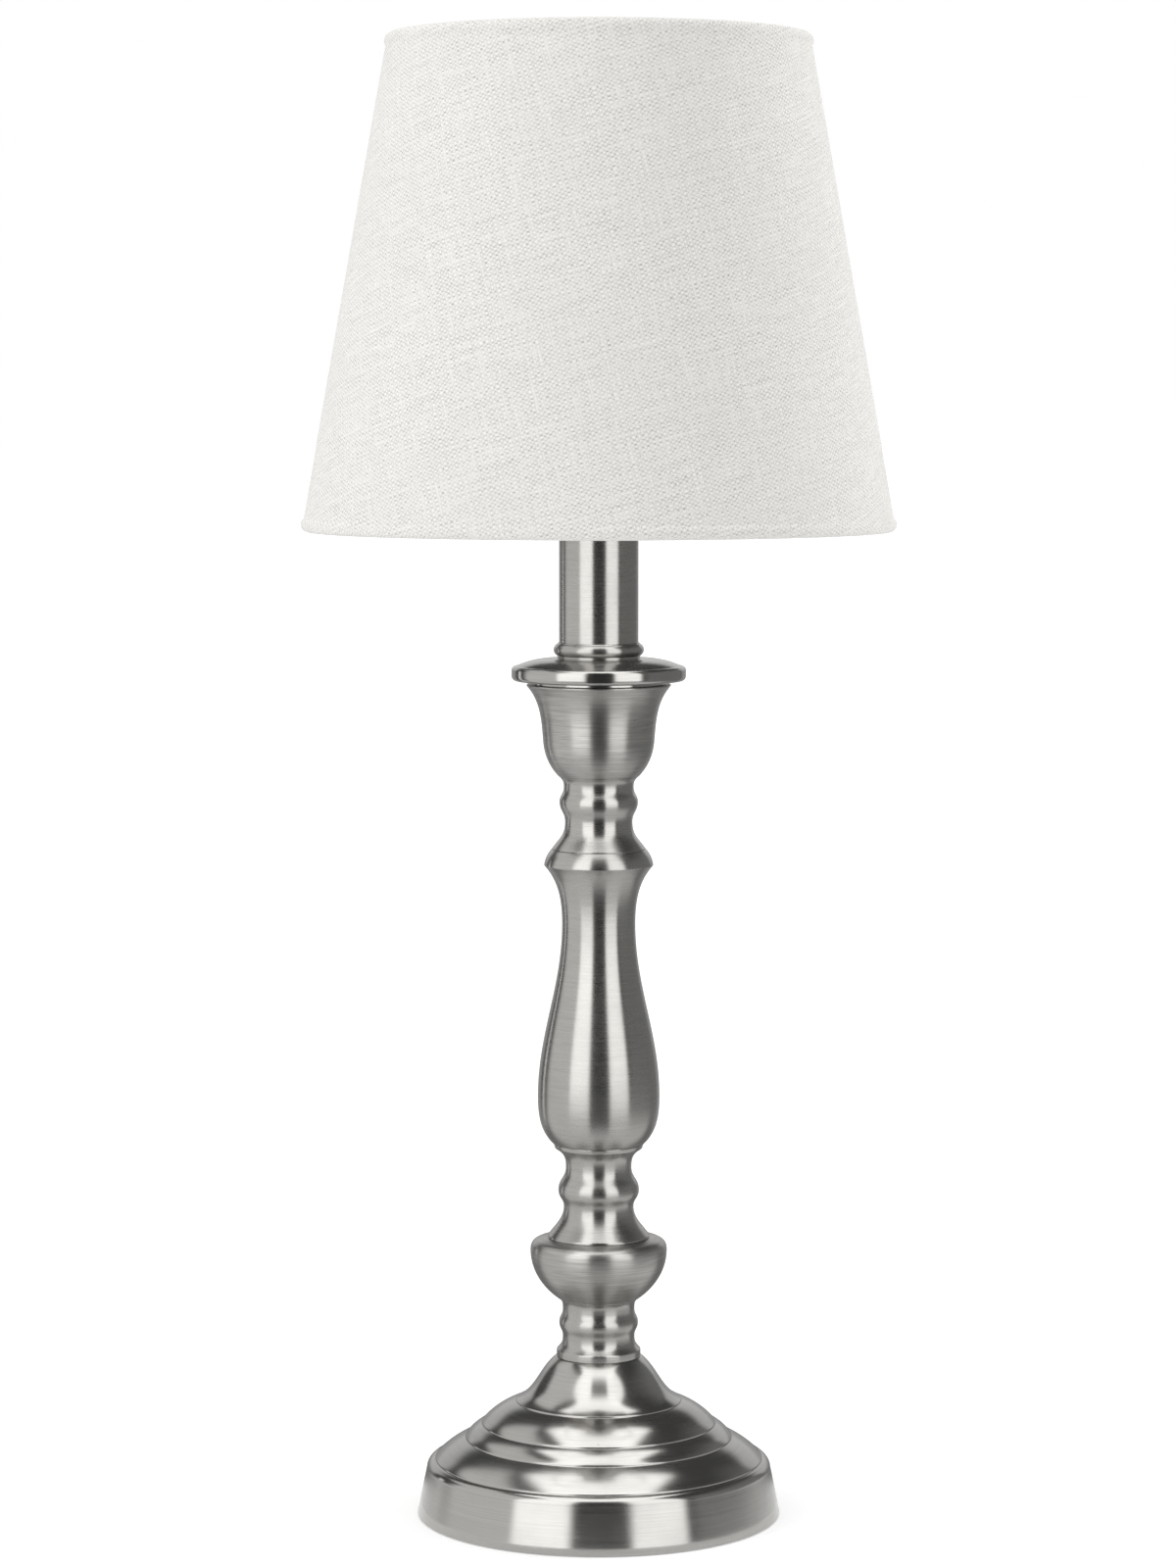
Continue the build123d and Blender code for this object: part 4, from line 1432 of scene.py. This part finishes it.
@dataclass
class CandleTube(SubAssembly):
    """Drip pan, beaded collar and candle sleeve."""

    rod_bore: float = 5.25
    pan_radius: float = 29.25
    pan_lift: float = 1.2
    pan_rim: float = 5.0
    pan_turn: float = 1.8
    pan_edge: float = 1.6
    pan_gap_height: float = 1.0
    pan_gap_depth: float = 1.8
    pan_rise: float = 2.4
    pan_swell: float = 0.8
    pan_hub: float = 15.2
    pan_plate: float = 2.4
    pan_ring: float = 16.2
    pan_ring_wall: float = 2.0
    pan_ring_drop: float = 1.5
    pan_soft: float = 0.2
    pan_turns: int = 192
    cup_lip: float = 24.2
    sleeve_radius: float = 13.3
    sleeve_wall: float = 1.0
    sleeve_soft: float = 0.2
    collar_inner: float = 13.4
    collar_outer: float = 13.9
    collar_bead: float = 15.15
    collar_foot: float = 1.0
    collar_bead_height: float = 4.1
    collar_height: float = 5.4
    collar_top: float = 13.7
    collar_soft: float = 0.1

    def pan(self) -> Pen:
        """Draws the wide disc with its deep round rim over a shadow gap, and its domed top.

        Returns:
            The section.
        """
        rim_top = self.pan_lift + self.pan_rim
        hub_top = rim_top + self.pan_rise
        inner = self.pan_ring - self.pan_ring_wall
        pen = Pen(self.rod_bore, hub_top - self.pan_plate).line(inner, hub_top - self.pan_plate)
        pen.line(inner, -self.pan_ring_drop).line(self.pan_ring, -self.pan_ring_drop).line(self.pan_ring, 0)
        seat = self.cup_lip - self.pan_gap_depth
        pen.line(seat, 0).line(seat, self.pan_gap_height).line(self.pan_radius - self.pan_turn, self.pan_lift)
        pen.sweep(self.pan_radius, self.pan_lift + self.pan_turn, leave=90)
        pen.line(self.pan_radius, rim_top - self.pan_edge)
        pen.sweep(self.pan_radius - self.pan_edge, rim_top, arrive=-90)
        return pen.arc(self.pan_hub, hub_top, self.pan_swell).line(self.rod_bore, hub_top)

    def collar(self) -> Pen:
        """Draws the beaded ring round the sleeve's foot.

        Returns:
            The section.
        """
        bead_top = self.collar_foot + self.collar_bead_height
        pen = Pen(self.collar_inner, 0).line(self.collar_outer, 0).line(self.collar_outer, self.collar_foot)
        pen.arc(self.collar_outer, bead_top, self.collar_bead - self.collar_outer)
        return pen.line(self.collar_top, self.collar_height).line(self.collar_inner, self.collar_height)

    def build(self) -> None:
        """Builds the three pieces."""
        pan_level = level_of("drip_pan") + self.pan_ring_drop
        pan = turned("candle_drip_pan", self.pan(), pan_level, self.pan_soft, self.pan_turns)
        self.fit(pan, FINISHES.pan, Body.LAMP, "drip_pan")
        collar = turned("candle_sleeve_collar", self.collar(), level_of("sleeve_collar"), self.collar_soft)
        self.fit(collar, FINISHES.tube, Body.LAMP, "sleeve_collar")
        inner = self.sleeve_radius - self.sleeve_wall
        tube = ring_section(inner, self.sleeve_radius, height_of("candle_sleeve"))
        sleeve = turned("candle_sleeve_tube", tube, level_of("candle_sleeve"), self.sleeve_soft)
        self.fit(sleeve, FINISHES.tube, Body.LAMP, "candle_sleeve")


@dataclass
class Lampholder(SubAssembly):
    """Moulded holder with its threaded skirt, clamp ring and contacts."""

    bore: float = 9.85
    flange_radius: float = 17.0
    flange_height: float = 3.0
    barrel_radius: float = 13.3
    thread_pitch: float = 2.5
    thread_ridge: float = 0.7
    lip_radius: float = 9.2
    lip_height: float = 2.0
    skirt_soft: float = 0.4
    ring_radius: float = 18.0
    ring_bore: float = 14.3
    ring_soft: float = 0.5
    rib_radius: float = 0.9
    rib_count: int = 16
    turns: int = 128

    def skirt(self) -> Pen:
        """Draws the seat flange and the barrel under its thread.

        Returns:
            The section.
        """
        height = height_of("holder_skirt")
        pen = Pen(self.bore, 0).line(self.flange_radius, 0).line(self.flange_radius, self.flange_height)
        pen.line(self.barrel_radius, self.flange_height).line(self.barrel_radius, height)
        pen.line(self.lip_radius, height).line(self.lip_radius, height - self.lip_height)
        return pen.line(self.bore, height - self.lip_height)

    def build(self) -> None:
        """Builds the visible mouldings and dresses the parts inside."""
        foot, top = level_of("holder_skirt"), top_of("holder_skirt")
        skirt = turned("holder_threaded_skirt", self.skirt(), foot, self.skirt_soft, self.turns)
        self.fit(skirt, FINISHES.holder, Body.LAMP, "holder_skirt")
        rise = top - foot - self.flange_height - 2 * self.thread_pitch
        thread = thread_tree().piece(
            "holder_skirt_thread", FINISHES.holder, barrel_mm=self.barrel_radius, pitch_mm=self.thread_pitch,
            turns=rise / self.thread_pitch, ridge_mm=self.thread_ridge,
            bottom_mm=foot + self.flange_height + self.thread_pitch,
        )
        self.fit(thread, FINISHES.holder, Body.LAMP)
        level, height = level_of("clamp_ring"), height_of("clamp_ring")
        band = ring_section(self.ring_bore, self.ring_radius, height)
        ring = turned("clamp_ring_band", band, level, self.ring_soft, self.turns)
        self.fit(ring, FINISHES.holder, Body.CLAMP, "clamp_ring")
        ribs = rib_tree().piece(
            "clamp_ring_ribs", FINISHES.holder, circle_mm=self.ring_radius, count=self.rib_count,
            rib_mm=self.rib_radius, height_mm=height, bottom_mm=level,
        )
        self.fit(ribs, FINISHES.holder, Body.CLAMP)
        self.dress(FINISHES.holder, "holder_cap", "holder_core")
        self.dress(FINISHES.brass, "terminal_screws", "screw_shell", "centre_contact")


@dataclass
class Shade(SubAssembly):
    """Linen cone on its wire frame."""

    bottom_radius: float = 99.2
    top_radius: float = 69.9
    height: float = 164.2
    fitter_lift: float = 19.3
    cloth: float = 0.7
    cloth_soft: float = 0.12
    cloth_turns: int = 256
    lining: float = 0.4
    lining_gap: float = 0.2
    lining_inset: float = 7.0
    lining_soft: float = 0.1
    lining_turns: int = 192
    wire_radius: float = 1.6
    hem_gap: float = 0.15
    hem_proud: float = 0.7
    curl_from: float = -46.0
    curl_to: float = 285.0
    curl_points: int = 48
    lap_width: float = 11.0
    lap_rise: float = 0.45
    lap_fall: float = 0.12
    lap_spread: float = 1.2
    lap_turns: int = 49
    arm_count: int = 3
    arm_radius: float = 1.5
    arm_gap: float = 0.5
    arm_end_gap: float = 0.1
    notch_gap: float = 0.3
    fitter_radius: float = 21.0
    fitter_bore: float = 14.5
    fitter_soft: float = 0.4
    fitter_turns: int = 128
    slope: float = field(init=False)
    level: float = field(init=False)

    def __post_init__(self) -> None:
        """Works out the slope and the lower edge's level."""
        self.slope = math.atan2(self.bottom_radius - self.top_radius, self.height)
        self.level = level_of("fitter_ring") - self.fitter_lift

    @property
    def slant(self) -> float:
        """Length of the slope."""
        return self.height / math.cos(self.slope)

    @property
    def hem_radius(self) -> float:
        """Outer radius of the rolled hem."""
        return self.wire_radius + self.hem_gap + self.cloth

    def on_slope(self, along: float, depth: float) -> Vector:
        """Finds a spot of the section.

        Args:
            along: distance up the slope.
            depth: depth under its outside.

        Returns:
            The spot's radius and height.
        """
        rise = along * math.cos(self.slope) - depth * math.sin(self.slope)
        radius = self.bottom_radius - along * math.sin(self.slope) - depth * math.cos(self.slope)
        return Vector((radius, rise))

    def curl(self, wire_at: float, side: int, radius: float) -> list[Vector]:
        """Rolls the cloth round a wire.

        Args:
            wire_at: the wire's place up the slope.
            side: 1 for the upper edge, -1 for the lower.
            radius: the roll's radius.

        Returns:
            The roll's points, from the outside inwards.
        """
        depth = self.hem_radius - self.hem_proud
        points = []
        for angle in np.radians(np.linspace(self.curl_from, self.curl_to, self.curl_points)):
            along = wire_at + side * radius * math.sin(angle)
            points.append(self.on_slope(along, depth - radius * math.cos(angle)))
        return points

    def cover_section(self) -> Pen:
        """Draws the cloth: up the outside, round both wires and back inside.

        Returns:
            The closed section.
        """
        low, high = self.hem_radius, self.slant - self.hem_radius
        outer, inner = self.hem_radius, self.hem_radius - self.cloth
        upper_out, upper_in = self.curl(high, 1, outer), self.curl(high, 1, inner)
        lower_out, lower_in = self.curl(low, -1, outer), self.curl(low, -1, inner)
        pen = Pen(*lower_out[0])
        pen.line(*upper_out[0]).add(upper_out).line(*upper_in[-1]).add(upper_in[::-1])
        pen.line(*lower_in[0]).add(lower_in).line(*lower_out[-1]).add(lower_out[::-1])
        return pen

    def turns(self) -> list[float]:
        """Spaces the cover's angles, closer together at the lap behind.

        Returns:
            The angles in order.
        """
        plain = np.linspace(0, 2 * math.pi, self.cloth_turns, endpoint=False)
        spread = np.linspace(-self.lap_spread, self.lap_spread, self.lap_turns)
        lap = math.pi / 2 + spread * self.lap_width / self.bottom_radius
        return sorted(set(np.round(np.concatenate([plain, lap]), 6)))

    def lap_cover(self, cover: Object) -> None:
        """Lifts the strip behind where the cloth's end is lapped over its start.

        Args:
            cover: the cover.
        """
        half = self.lap_width / 2 / self.bottom_radius
        for vertex in cover.data.vertices:
            side = math.atan2(vertex.co.y, vertex.co.x) - math.pi / 2
            if abs(side) < 2 * half:
                climb = min(max((side + 2 * half) / (2 * half), 0.0), 1.0)
                fall = min(max((half - side) / (self.lap_fall * half), 0.0), 1.0)
                lift = self.lap_rise * MM * climb ** 2 * fall
                vertex.co.xy *= 1 + lift / vertex.co.xy.length

    def cover(self) -> Object:
        """Makes the linen cover, lapped behind and notched for the arms.

        Returns:
            The new piece.
        """
        cover = turned("shade_linen_cover", self.cover_section(), self.level, self.cloth_soft, self.turns())
        self.lap_cover(cover)
        for number in range(self.arm_count):
            turn = Matrix.Rotation(2 * math.pi * number / self.arm_count, 3, "Z")
            ends = [turn @ Vector((0, *point)) for point in self.arm_line()]
            cut(cover, bar("arm_notch", *ends, self.arm_radius + self.notch_gap))
        return cover

    def arm_line(self) -> tuple[Vector, Vector]:
        """Finds an arm's axis.

        Returns:
            Its ends in the section, beside the fitter ring and in the lower wire.
        """
        middle = (level_of("fitter_ring") + top_of("fitter_ring")) / 2
        wire = self.on_slope(self.hem_radius, self.hem_radius - self.hem_proud) + Vector((0, self.level))
        return Vector((self.fitter_radius + self.arm_gap, middle)), wire

    def lining_section(self) -> Pen:
        """Draws the stiff lining inside the cloth.

        Returns:
            The section.
        """
        depth = self.cloth + self.lining_gap
        low, high = self.lining_inset, self.slant - self.lining_inset
        pen = Pen(*self.on_slope(low, depth + self.lining)).line(*self.on_slope(low, depth))
        return pen.line(*self.on_slope(high, depth)).line(*self.on_slope(high, depth + self.lining))

    def build(self) -> None:
        """Builds the cloth, lining and frame."""
        cover = self.fit(self.cover(), FINISHES.linen, Body.SHADE, "shade_cover")
        lining = turned(
            "shade_styrene_lining", self.lining_section(), self.level, self.lining_soft, self.lining_turns,
        )
        self.fit(lining, FINISHES.lining, Body.SHADE, "shade_lining")
        # The metal mirrors an open studio overhead, so the cone is left out of mirror images.
        cover.visible_glossy = lining.visible_glossy = False
        ring = ring_section(self.fitter_bore, self.fitter_radius, height_of("fitter_ring"))
        fitter_at = level_of("fitter_ring")
        fitter = turned("shade_fitter_ring", ring, fitter_at, self.fitter_soft, self.fitter_turns)
        self.fit(fitter, FINISHES.wire, Body.SHADE, "fitter_ring")
        inner, wire = self.arm_line()
        share = (wire.x - self.wire_radius - self.arm_end_gap - inner.x) / (wire.x - inner.x)
        outer = inner.lerp(wire, share)
        arms = arm_tree().piece(
            "shade_spider_arms", FINISHES.wire, count=self.arm_count, wire_mm=self.arm_radius,
            inner_mm=inner.x, inner_level_mm=inner.y, outer_mm=outer.x, outer_level_mm=outer.y,
        )
        self.fit(arms, FINISHES.wire, Body.SHADE, "spider_arms")
        self.dress(FINISHES.wire, "top_wire", "bottom_wire")


@dataclass
class Bulb(SubAssembly):
    """Opal globe bulb with a small screw cap."""

    neck_radius: float = 7.6
    neck_height: float = 3.0
    radius: float = 22.5
    widest_at: float = 38.0
    wall: float = 0.8
    glass_soft: float = 0.3
    cap_radius: float = 6.1
    cap_bore: float = 5.2
    cap_flare: float = 1.6
    cap_rim: float = 0.5
    cap_soft: float = 0.25
    thread_pitch: float = 2.82
    thread_ridge: float = 0.75
    thread_turns: float = 4.2
    thread_lift: float = 1.4
    tip_radius: float = 2.4
    tip_soft: float = 0.45
    tip_turns: int = 64
    bead_foot: float = 3.2
    bead_soft: float = 0.3
    bead_turns: int = 96
    turns: int = 128

    def glass(self) -> Pen:
        """Draws the globe with its short neck, open at the cap.

        Returns:
            The section, which starts and ends on the axis.
        """
        top = self.widest_at + self.radius
        swell = 1 - math.sqrt(0.5)
        inside = self.radius - self.wall
        throat = self.neck_radius - self.wall
        pen = Pen(0, top - self.wall).arc(inside, self.widest_at, -swell * inside)
        pen.sweep(throat, self.neck_height, 180, 180).line(throat, 0).line(self.neck_radius, 0)
        pen.line(self.neck_radius, self.neck_height).sweep(self.radius, self.widest_at)
        return pen.arc(0, top, swell * self.radius)

    def cap(self) -> Pen:
        """Draws the cap's barrel and the flare that holds the glass.

        Returns:
            The section.
        """
        height = height_of("bulb_cap")
        pen = Pen(self.cap_bore, 0).line(self.cap_radius, 0).line(self.cap_radius, height - self.cap_flare)
        pen.line(self.neck_radius, height - self.cap_rim).line(self.neck_radius, height)
        return pen.line(self.cap_bore, height)

    def build(self) -> None:
        """Builds the globe, cap, bead and tip."""
        glass = turned("bulb_opal_globe", self.glass(), level_of("bulb_glass"), self.glass_soft, self.turns)
        self.fit(glass, FINISHES.opal, Body.BULB, "bulb_glass")
        # Left out of mirror images, as the cone round it is.
        glass.visible_glossy = False
        foot = level_of("bulb_cap")
        cap = turned("bulb_screw_cap", self.cap(), foot, self.cap_soft, self.turns)
        self.fit(cap, FINISHES.cap, Body.BULB, "bulb_cap")
        thread = thread_tree().piece(
            "bulb_cap_thread", FINISHES.cap, barrel_mm=self.cap_radius, pitch_mm=self.thread_pitch,
            turns=self.thread_turns, ridge_mm=self.thread_ridge, bottom_mm=foot + self.thread_lift,
        )
        self.fit(thread, FINISHES.cap, Body.BULB)
        height = height_of("bulb_insulator")
        pen = Pen(0, 0).line(self.bead_foot, 0).line(self.cap_radius, height).line(0, height)
        bead = turned("bulb_glass_bead", pen, level_of("bulb_insulator"), self.bead_soft, self.bead_turns)
        self.fit(bead, FINISHES.bead, Body.BULB_FOOT, "bulb_insulator")
        disc = ring_section(0, self.tip_radius, height_of("bulb_tip"))
        tip = turned("bulb_contact_tip", disc, level_of("bulb_tip"), self.tip_soft, self.tip_turns)
        self.fit(tip, FINISHES.cap, Body.BULB_FOOT, "bulb_tip")


@dataclass(frozen=True)
class Panel:
    """A softbox or flag of the surround: its azimuths and elevations in degrees, and its light."""

    left: float
    right: float
    low: float
    high: float
    glow: float
    soft: float = 4.0
    soft_end: float = 8.0

    def mask(self, azimuth: np.ndarray, elevation: np.ndarray) -> np.ndarray:
        """Works out how far the panel covers each direction.

        Args:
            azimuth: the directions' azimuths.
            elevation: their elevations.

        Returns:
            The cover, from 0 to 1.
        """
        wide = np.zeros_like(azimuth)
        for turn in (-360, 0, 360):
            wide = np.maximum(wide, between(azimuth + turn, self.left, self.right, self.soft))
        return wide * between(elevation, self.low, self.high, self.soft_end)


class CeilingPanel(Panel):
    """A softbox flat under the ceiling: its reach right and towards the viewer over its height."""

    least_rise = 1e-3

    def mask(self, azimuth: np.ndarray, elevation: np.ndarray) -> np.ndarray:
        """Works out how far the panel covers each direction.

        Args:
            azimuth: the directions' azimuths.
            elevation: their elevations.

        Returns:
            The cover, from 0 to 1.
        """
        rise = np.maximum(np.tan(np.radians(elevation)), self.least_rise)
        aside, ahead = np.sin(np.radians(azimuth)) / rise, np.cos(np.radians(azimuth)) / rise
        wide = between(aside, self.left, self.right, self.soft)
        return wide * between(ahead, self.low, self.high, self.soft_end)


def eased(value: np.ndarray, edge: float, soft: float) -> np.ndarray:
    """Returns a smooth step from 0 to 1 about an edge."""
    share = np.clip((value - edge) / soft + 0.5, 0, 1)
    return share * share * (3 - 2 * share)


def between(value: np.ndarray, low: float, high: float, soft: float) -> np.ndarray:
    """Returns 1 between two soft edges and 0 outside them."""
    return eased(value, low, soft) * (1 - eased(value, high, soft))


@dataclass(frozen=True)
class Softbox:
    """A soft square area lamp: its place and size in metres, and its power."""

    name: str
    at: Place
    size: float
    watts: float

    def hang(self, aim: Place) -> None:
        """Hangs the lamp, left out of mirror images because the surround shows its box.

        Args:
            aim: the spot it faces.
        """
        data = bpy.data.lights.new(self.name, "AREA")
        data.shape = "SQUARE"
        data.size = self.size
        data.energy = self.watts
        lamp = bpy.data.objects.new(self.name, data)
        lamp.location = self.at
        lamp.rotation_euler = (Vector(aim) - Vector(self.at)).to_track_quat("-Z", "Y").to_euler()
        lamp.visible_camera = False
        lamp.visible_glossy = False
        bpy.context.scene.collection.objects.link(lamp)


@dataclass
class Studio:
    """Camera, lights, pale floor and the softboxes and flags that the metal mirrors, in metres."""

    lens: float = 103.5
    sensor: float = 36.0
    camera_at: Place = (-0.0036, -1.507, 0.3795)
    pitch: float = 4.97
    plain_light: float = 0.7
    lamps_aim: Place = (0, 0, 0.3)
    lamps: tuple[Softbox, ...] = (
        Softbox("key_left", (-1.84, -1.06, 1.1), 1.3, 13),
        Softbox("fill_right", (2.02, 0.66, 0.9), 1.3, 14),
        Softbox("overhead", (0, 0.1, 2.4), 1.6, 10),
    )
    floor_size: float = 60.0
    floor_greys: Range = (0.89, 0.91)
    floor_mottle_per_m: float = 9.0
    floor_lift_from: Range = (0.1, 3.5)
    floor_lift: Range = (0.29, 0.68)
    surround_radius: float = 4.5
    surround_foot: float = 0.064
    surround_eye: float = 0.2
    surround_clear: float = 0.003
    surround_zenith: float = math.pi / 2 - 0.002
    surround_floor_rings: int = 24
    surround_wall_rings: int = 64
    surround_turns: int = 720
    room: float = 0.09
    panels: tuple[Panel, ...] = (
        Panel(-200, 200, -90, -20, 0.9, 4, 14),
        Panel(118, 242, -90, -24, 0.25, 14, 10),
        Panel(142, 218, -24, 3, 0.42, 8),
        Panel(142, 218, 3, 23, 0.75, 8),
        Panel(-114, -56, -24, 40, 1.0, 14),
        Panel(-138, -56, 27, 54, 1.0, 10, 6),
        Panel(-131, -126, -24, 8, 1.7, 3),
        Panel(66, 140, -24, 32, 0.28, 12, 30),
        Panel(-18, 21, -24, 62, 0.05),
        Panel(-18, 21, -45, 0, 0.05, 4, 30),
        Panel(-57, -18, -14, 66, 2.4, 6, 6),
        Panel(21, 58, -14, 66, 2.2, 6, 6),
        CeilingPanel(-0.46, 0.46, -0.42, 0.66, 2.5, 0.08, 0.10),
    )

    def camera(self) -> None:
        """Sets the camera at the photograph's place and angle."""
        data = bpy.data.cameras.new("camera")
        data.lens = self.lens
        data.sensor_width = self.sensor
        camera = bpy.data.objects.new("camera", data)
        camera.location = self.camera_at
        camera.rotation_euler = (math.radians(90 - self.pitch), 0, 0)
        bpy.context.scene.collection.objects.link(camera)
        bpy.context.scene.camera = camera

    def seen_directly(self, pen: NodePen) -> Socket:
        """Tells which rays show a surface, rather than gather light from it.

        Args:
            pen: the pen of the tree.

        Returns:
            1 for rays from the camera, mirrors and glass.
        """
        path = pen.tree.nodes.new("ShaderNodeLightPath")
        rays = ("Is Camera Ray", "Is Glossy Ray", "Is Transmission Ray")
        return pen.maths("MAXIMUM", *(path.outputs[ray] for ray in rays))

    def world(self) -> None:
        """Makes a white backdrop that lights the lamp at a plain level."""
        world = bpy.data.worlds.new("studio")
        pen = blank_pen(world)
        strength = pen.span(self.seen_directly(pen), 0, 1, self.plain_light, 1.0)
        backdrop = pen.node("Background", {"Color": grey(1.0), "Strength": strength})
        pen.node("OutputWorld", {"Surface": backdrop})
        bpy.context.scene.world = world

    def floor(self) -> None:
        """Lays the pale floor, which stays white to its edge and keeps the lamp's shadow."""
        work = bmesh.new()
        bmesh.ops.create_grid(work, x_segments=1, y_segments=1, size=self.floor_size / 2)
        mesh = bpy.data.meshes.new("floor")
        work.to_mesh(mesh)
        work.free()
        floor = new_object("floor", mesh)
        material = bpy.data.materials.new("PaleFloor")
        pen = blank_pen(material)
        mottle = pen.noise(pen.object_place(), self.floor_mottle_per_m)
        colour = pen.blend(mottle, *(grey(level) for level in self.floor_greys))
        paint = pen.node("BsdfDiffuse", {"Color": colour})
        away = pen.span(pen.length(pen.object_place()), *self.floor_lift_from, *self.floor_lift)
        lift = pen.maths("MULTIPLY", self.seen_directly(pen), away)
        glow = pen.node("Emission", {"Color": grey(1.0), "Strength": lift})
        pen.surface(pen.node("AddShader", {0: paint, 1: glow}))
        mesh.materials.append(material)

    def light_of(self, azimuth: np.ndarray, elevation: np.ndarray) -> np.ndarray:
        """Lays the panels over one another, the later over the earlier.

        Args:
            azimuth: the directions' azimuths.
            elevation: their elevations.

        Returns:
            The surround's light in each direction.
        """
        light = np.full_like(azimuth, self.room)
        for panel in self.panels:
            mask = panel.mask(azimuth, elevation)
            light = light * (1 - mask) + panel.glow * mask
        return light

    def surround(self) -> None:
        """Builds the ring of softboxes and flags round the table, seen only in mirror images."""
        reach, eye = self.surround_radius, self.surround_eye
        spokes = np.geomspace(self.surround_foot, reach, self.surround_floor_rings)
        climbs = np.linspace(0, self.surround_zenith, self.surround_wall_rings)
        profile = [(radius, self.surround_clear) for radius in spokes]
        profile += [(reach * math.cos(a), eye + reach * math.sin(a)) for a in climbs]
        outline = np.array(profile)
        angles = np.linspace(0, 2 * math.pi, self.surround_turns, endpoint=False)
        rows, columns = len(outline), len(angles)
        place = np.stack([
            np.outer(outline[:, 0], np.sin(angles)),
            -np.outer(outline[:, 0], np.cos(angles)),
            np.repeat(outline[:, 1:], columns, axis=1),
        ], axis=-1)
        faces = lattice(rows - 1, rows, columns)[2][..., [0, 3, 2, 1]]
        mesh = bpy.data.meshes.new("studio_surround")
        mesh.from_pydata(place.reshape(-1, 3).tolist(), [], faces.reshape(-1, 4).tolist())
        azimuth = np.tile((np.degrees(angles) + 180) % 360 - 180, (rows, 1))
        climb = np.degrees(np.arctan2(outline[:, 1] - eye, outline[:, 0]))
        elevation = np.repeat(climb[:, None], columns, axis=1)
        glow = mesh.attributes.new("glow", "FLOAT", "POINT")
        glow.data.foreach_set("value", self.light_of(azimuth, elevation).ravel())
        material = bpy.data.materials.new("SoftboxesAndFlags")
        material.cycles.emission_sampling = "NONE"
        pen = blank_pen(material)
        level = pen.node("Attribute", out="Fac", attribute_name="glow")
        pen.surface(pen.node("Emission", {"Color": grey(1.0), "Strength": level}))
        mesh.materials.append(material)
        self.mirror_only(new_object("studio_surround", mesh))

    def mirror_only(self, stage: Object) -> None:
        """Leaves an object to be seen only in mirror images.

        Args:
            stage: the object.
        """
        stage.visible_camera = False
        stage.visible_diffuse = False
        stage.visible_shadow = False
        stage.visible_transmission = False

    def build(self) -> None:
        """Builds the whole studio."""
        bpy.context.scene.view_settings.view_transform = "Standard"
        self.camera()
        self.world()
        self.floor()
        self.surround()
        for lamp in self.lamps:
            lamp.hang(self.lamps_aim)


def main() -> None:
    """Builds the studio and the lamp, piece by piece."""
    logging.basicConfig(level=logging.INFO, format="%(name)s: %(message)s")
    Studio().build()
    for part in (Base(), Stem(), CandleTube(), Lampholder(), Shade(), Bulb()):
        LOG.info("building %s", type(part).__name__)
        part.build()


if __name__ == "__main__":
    main()
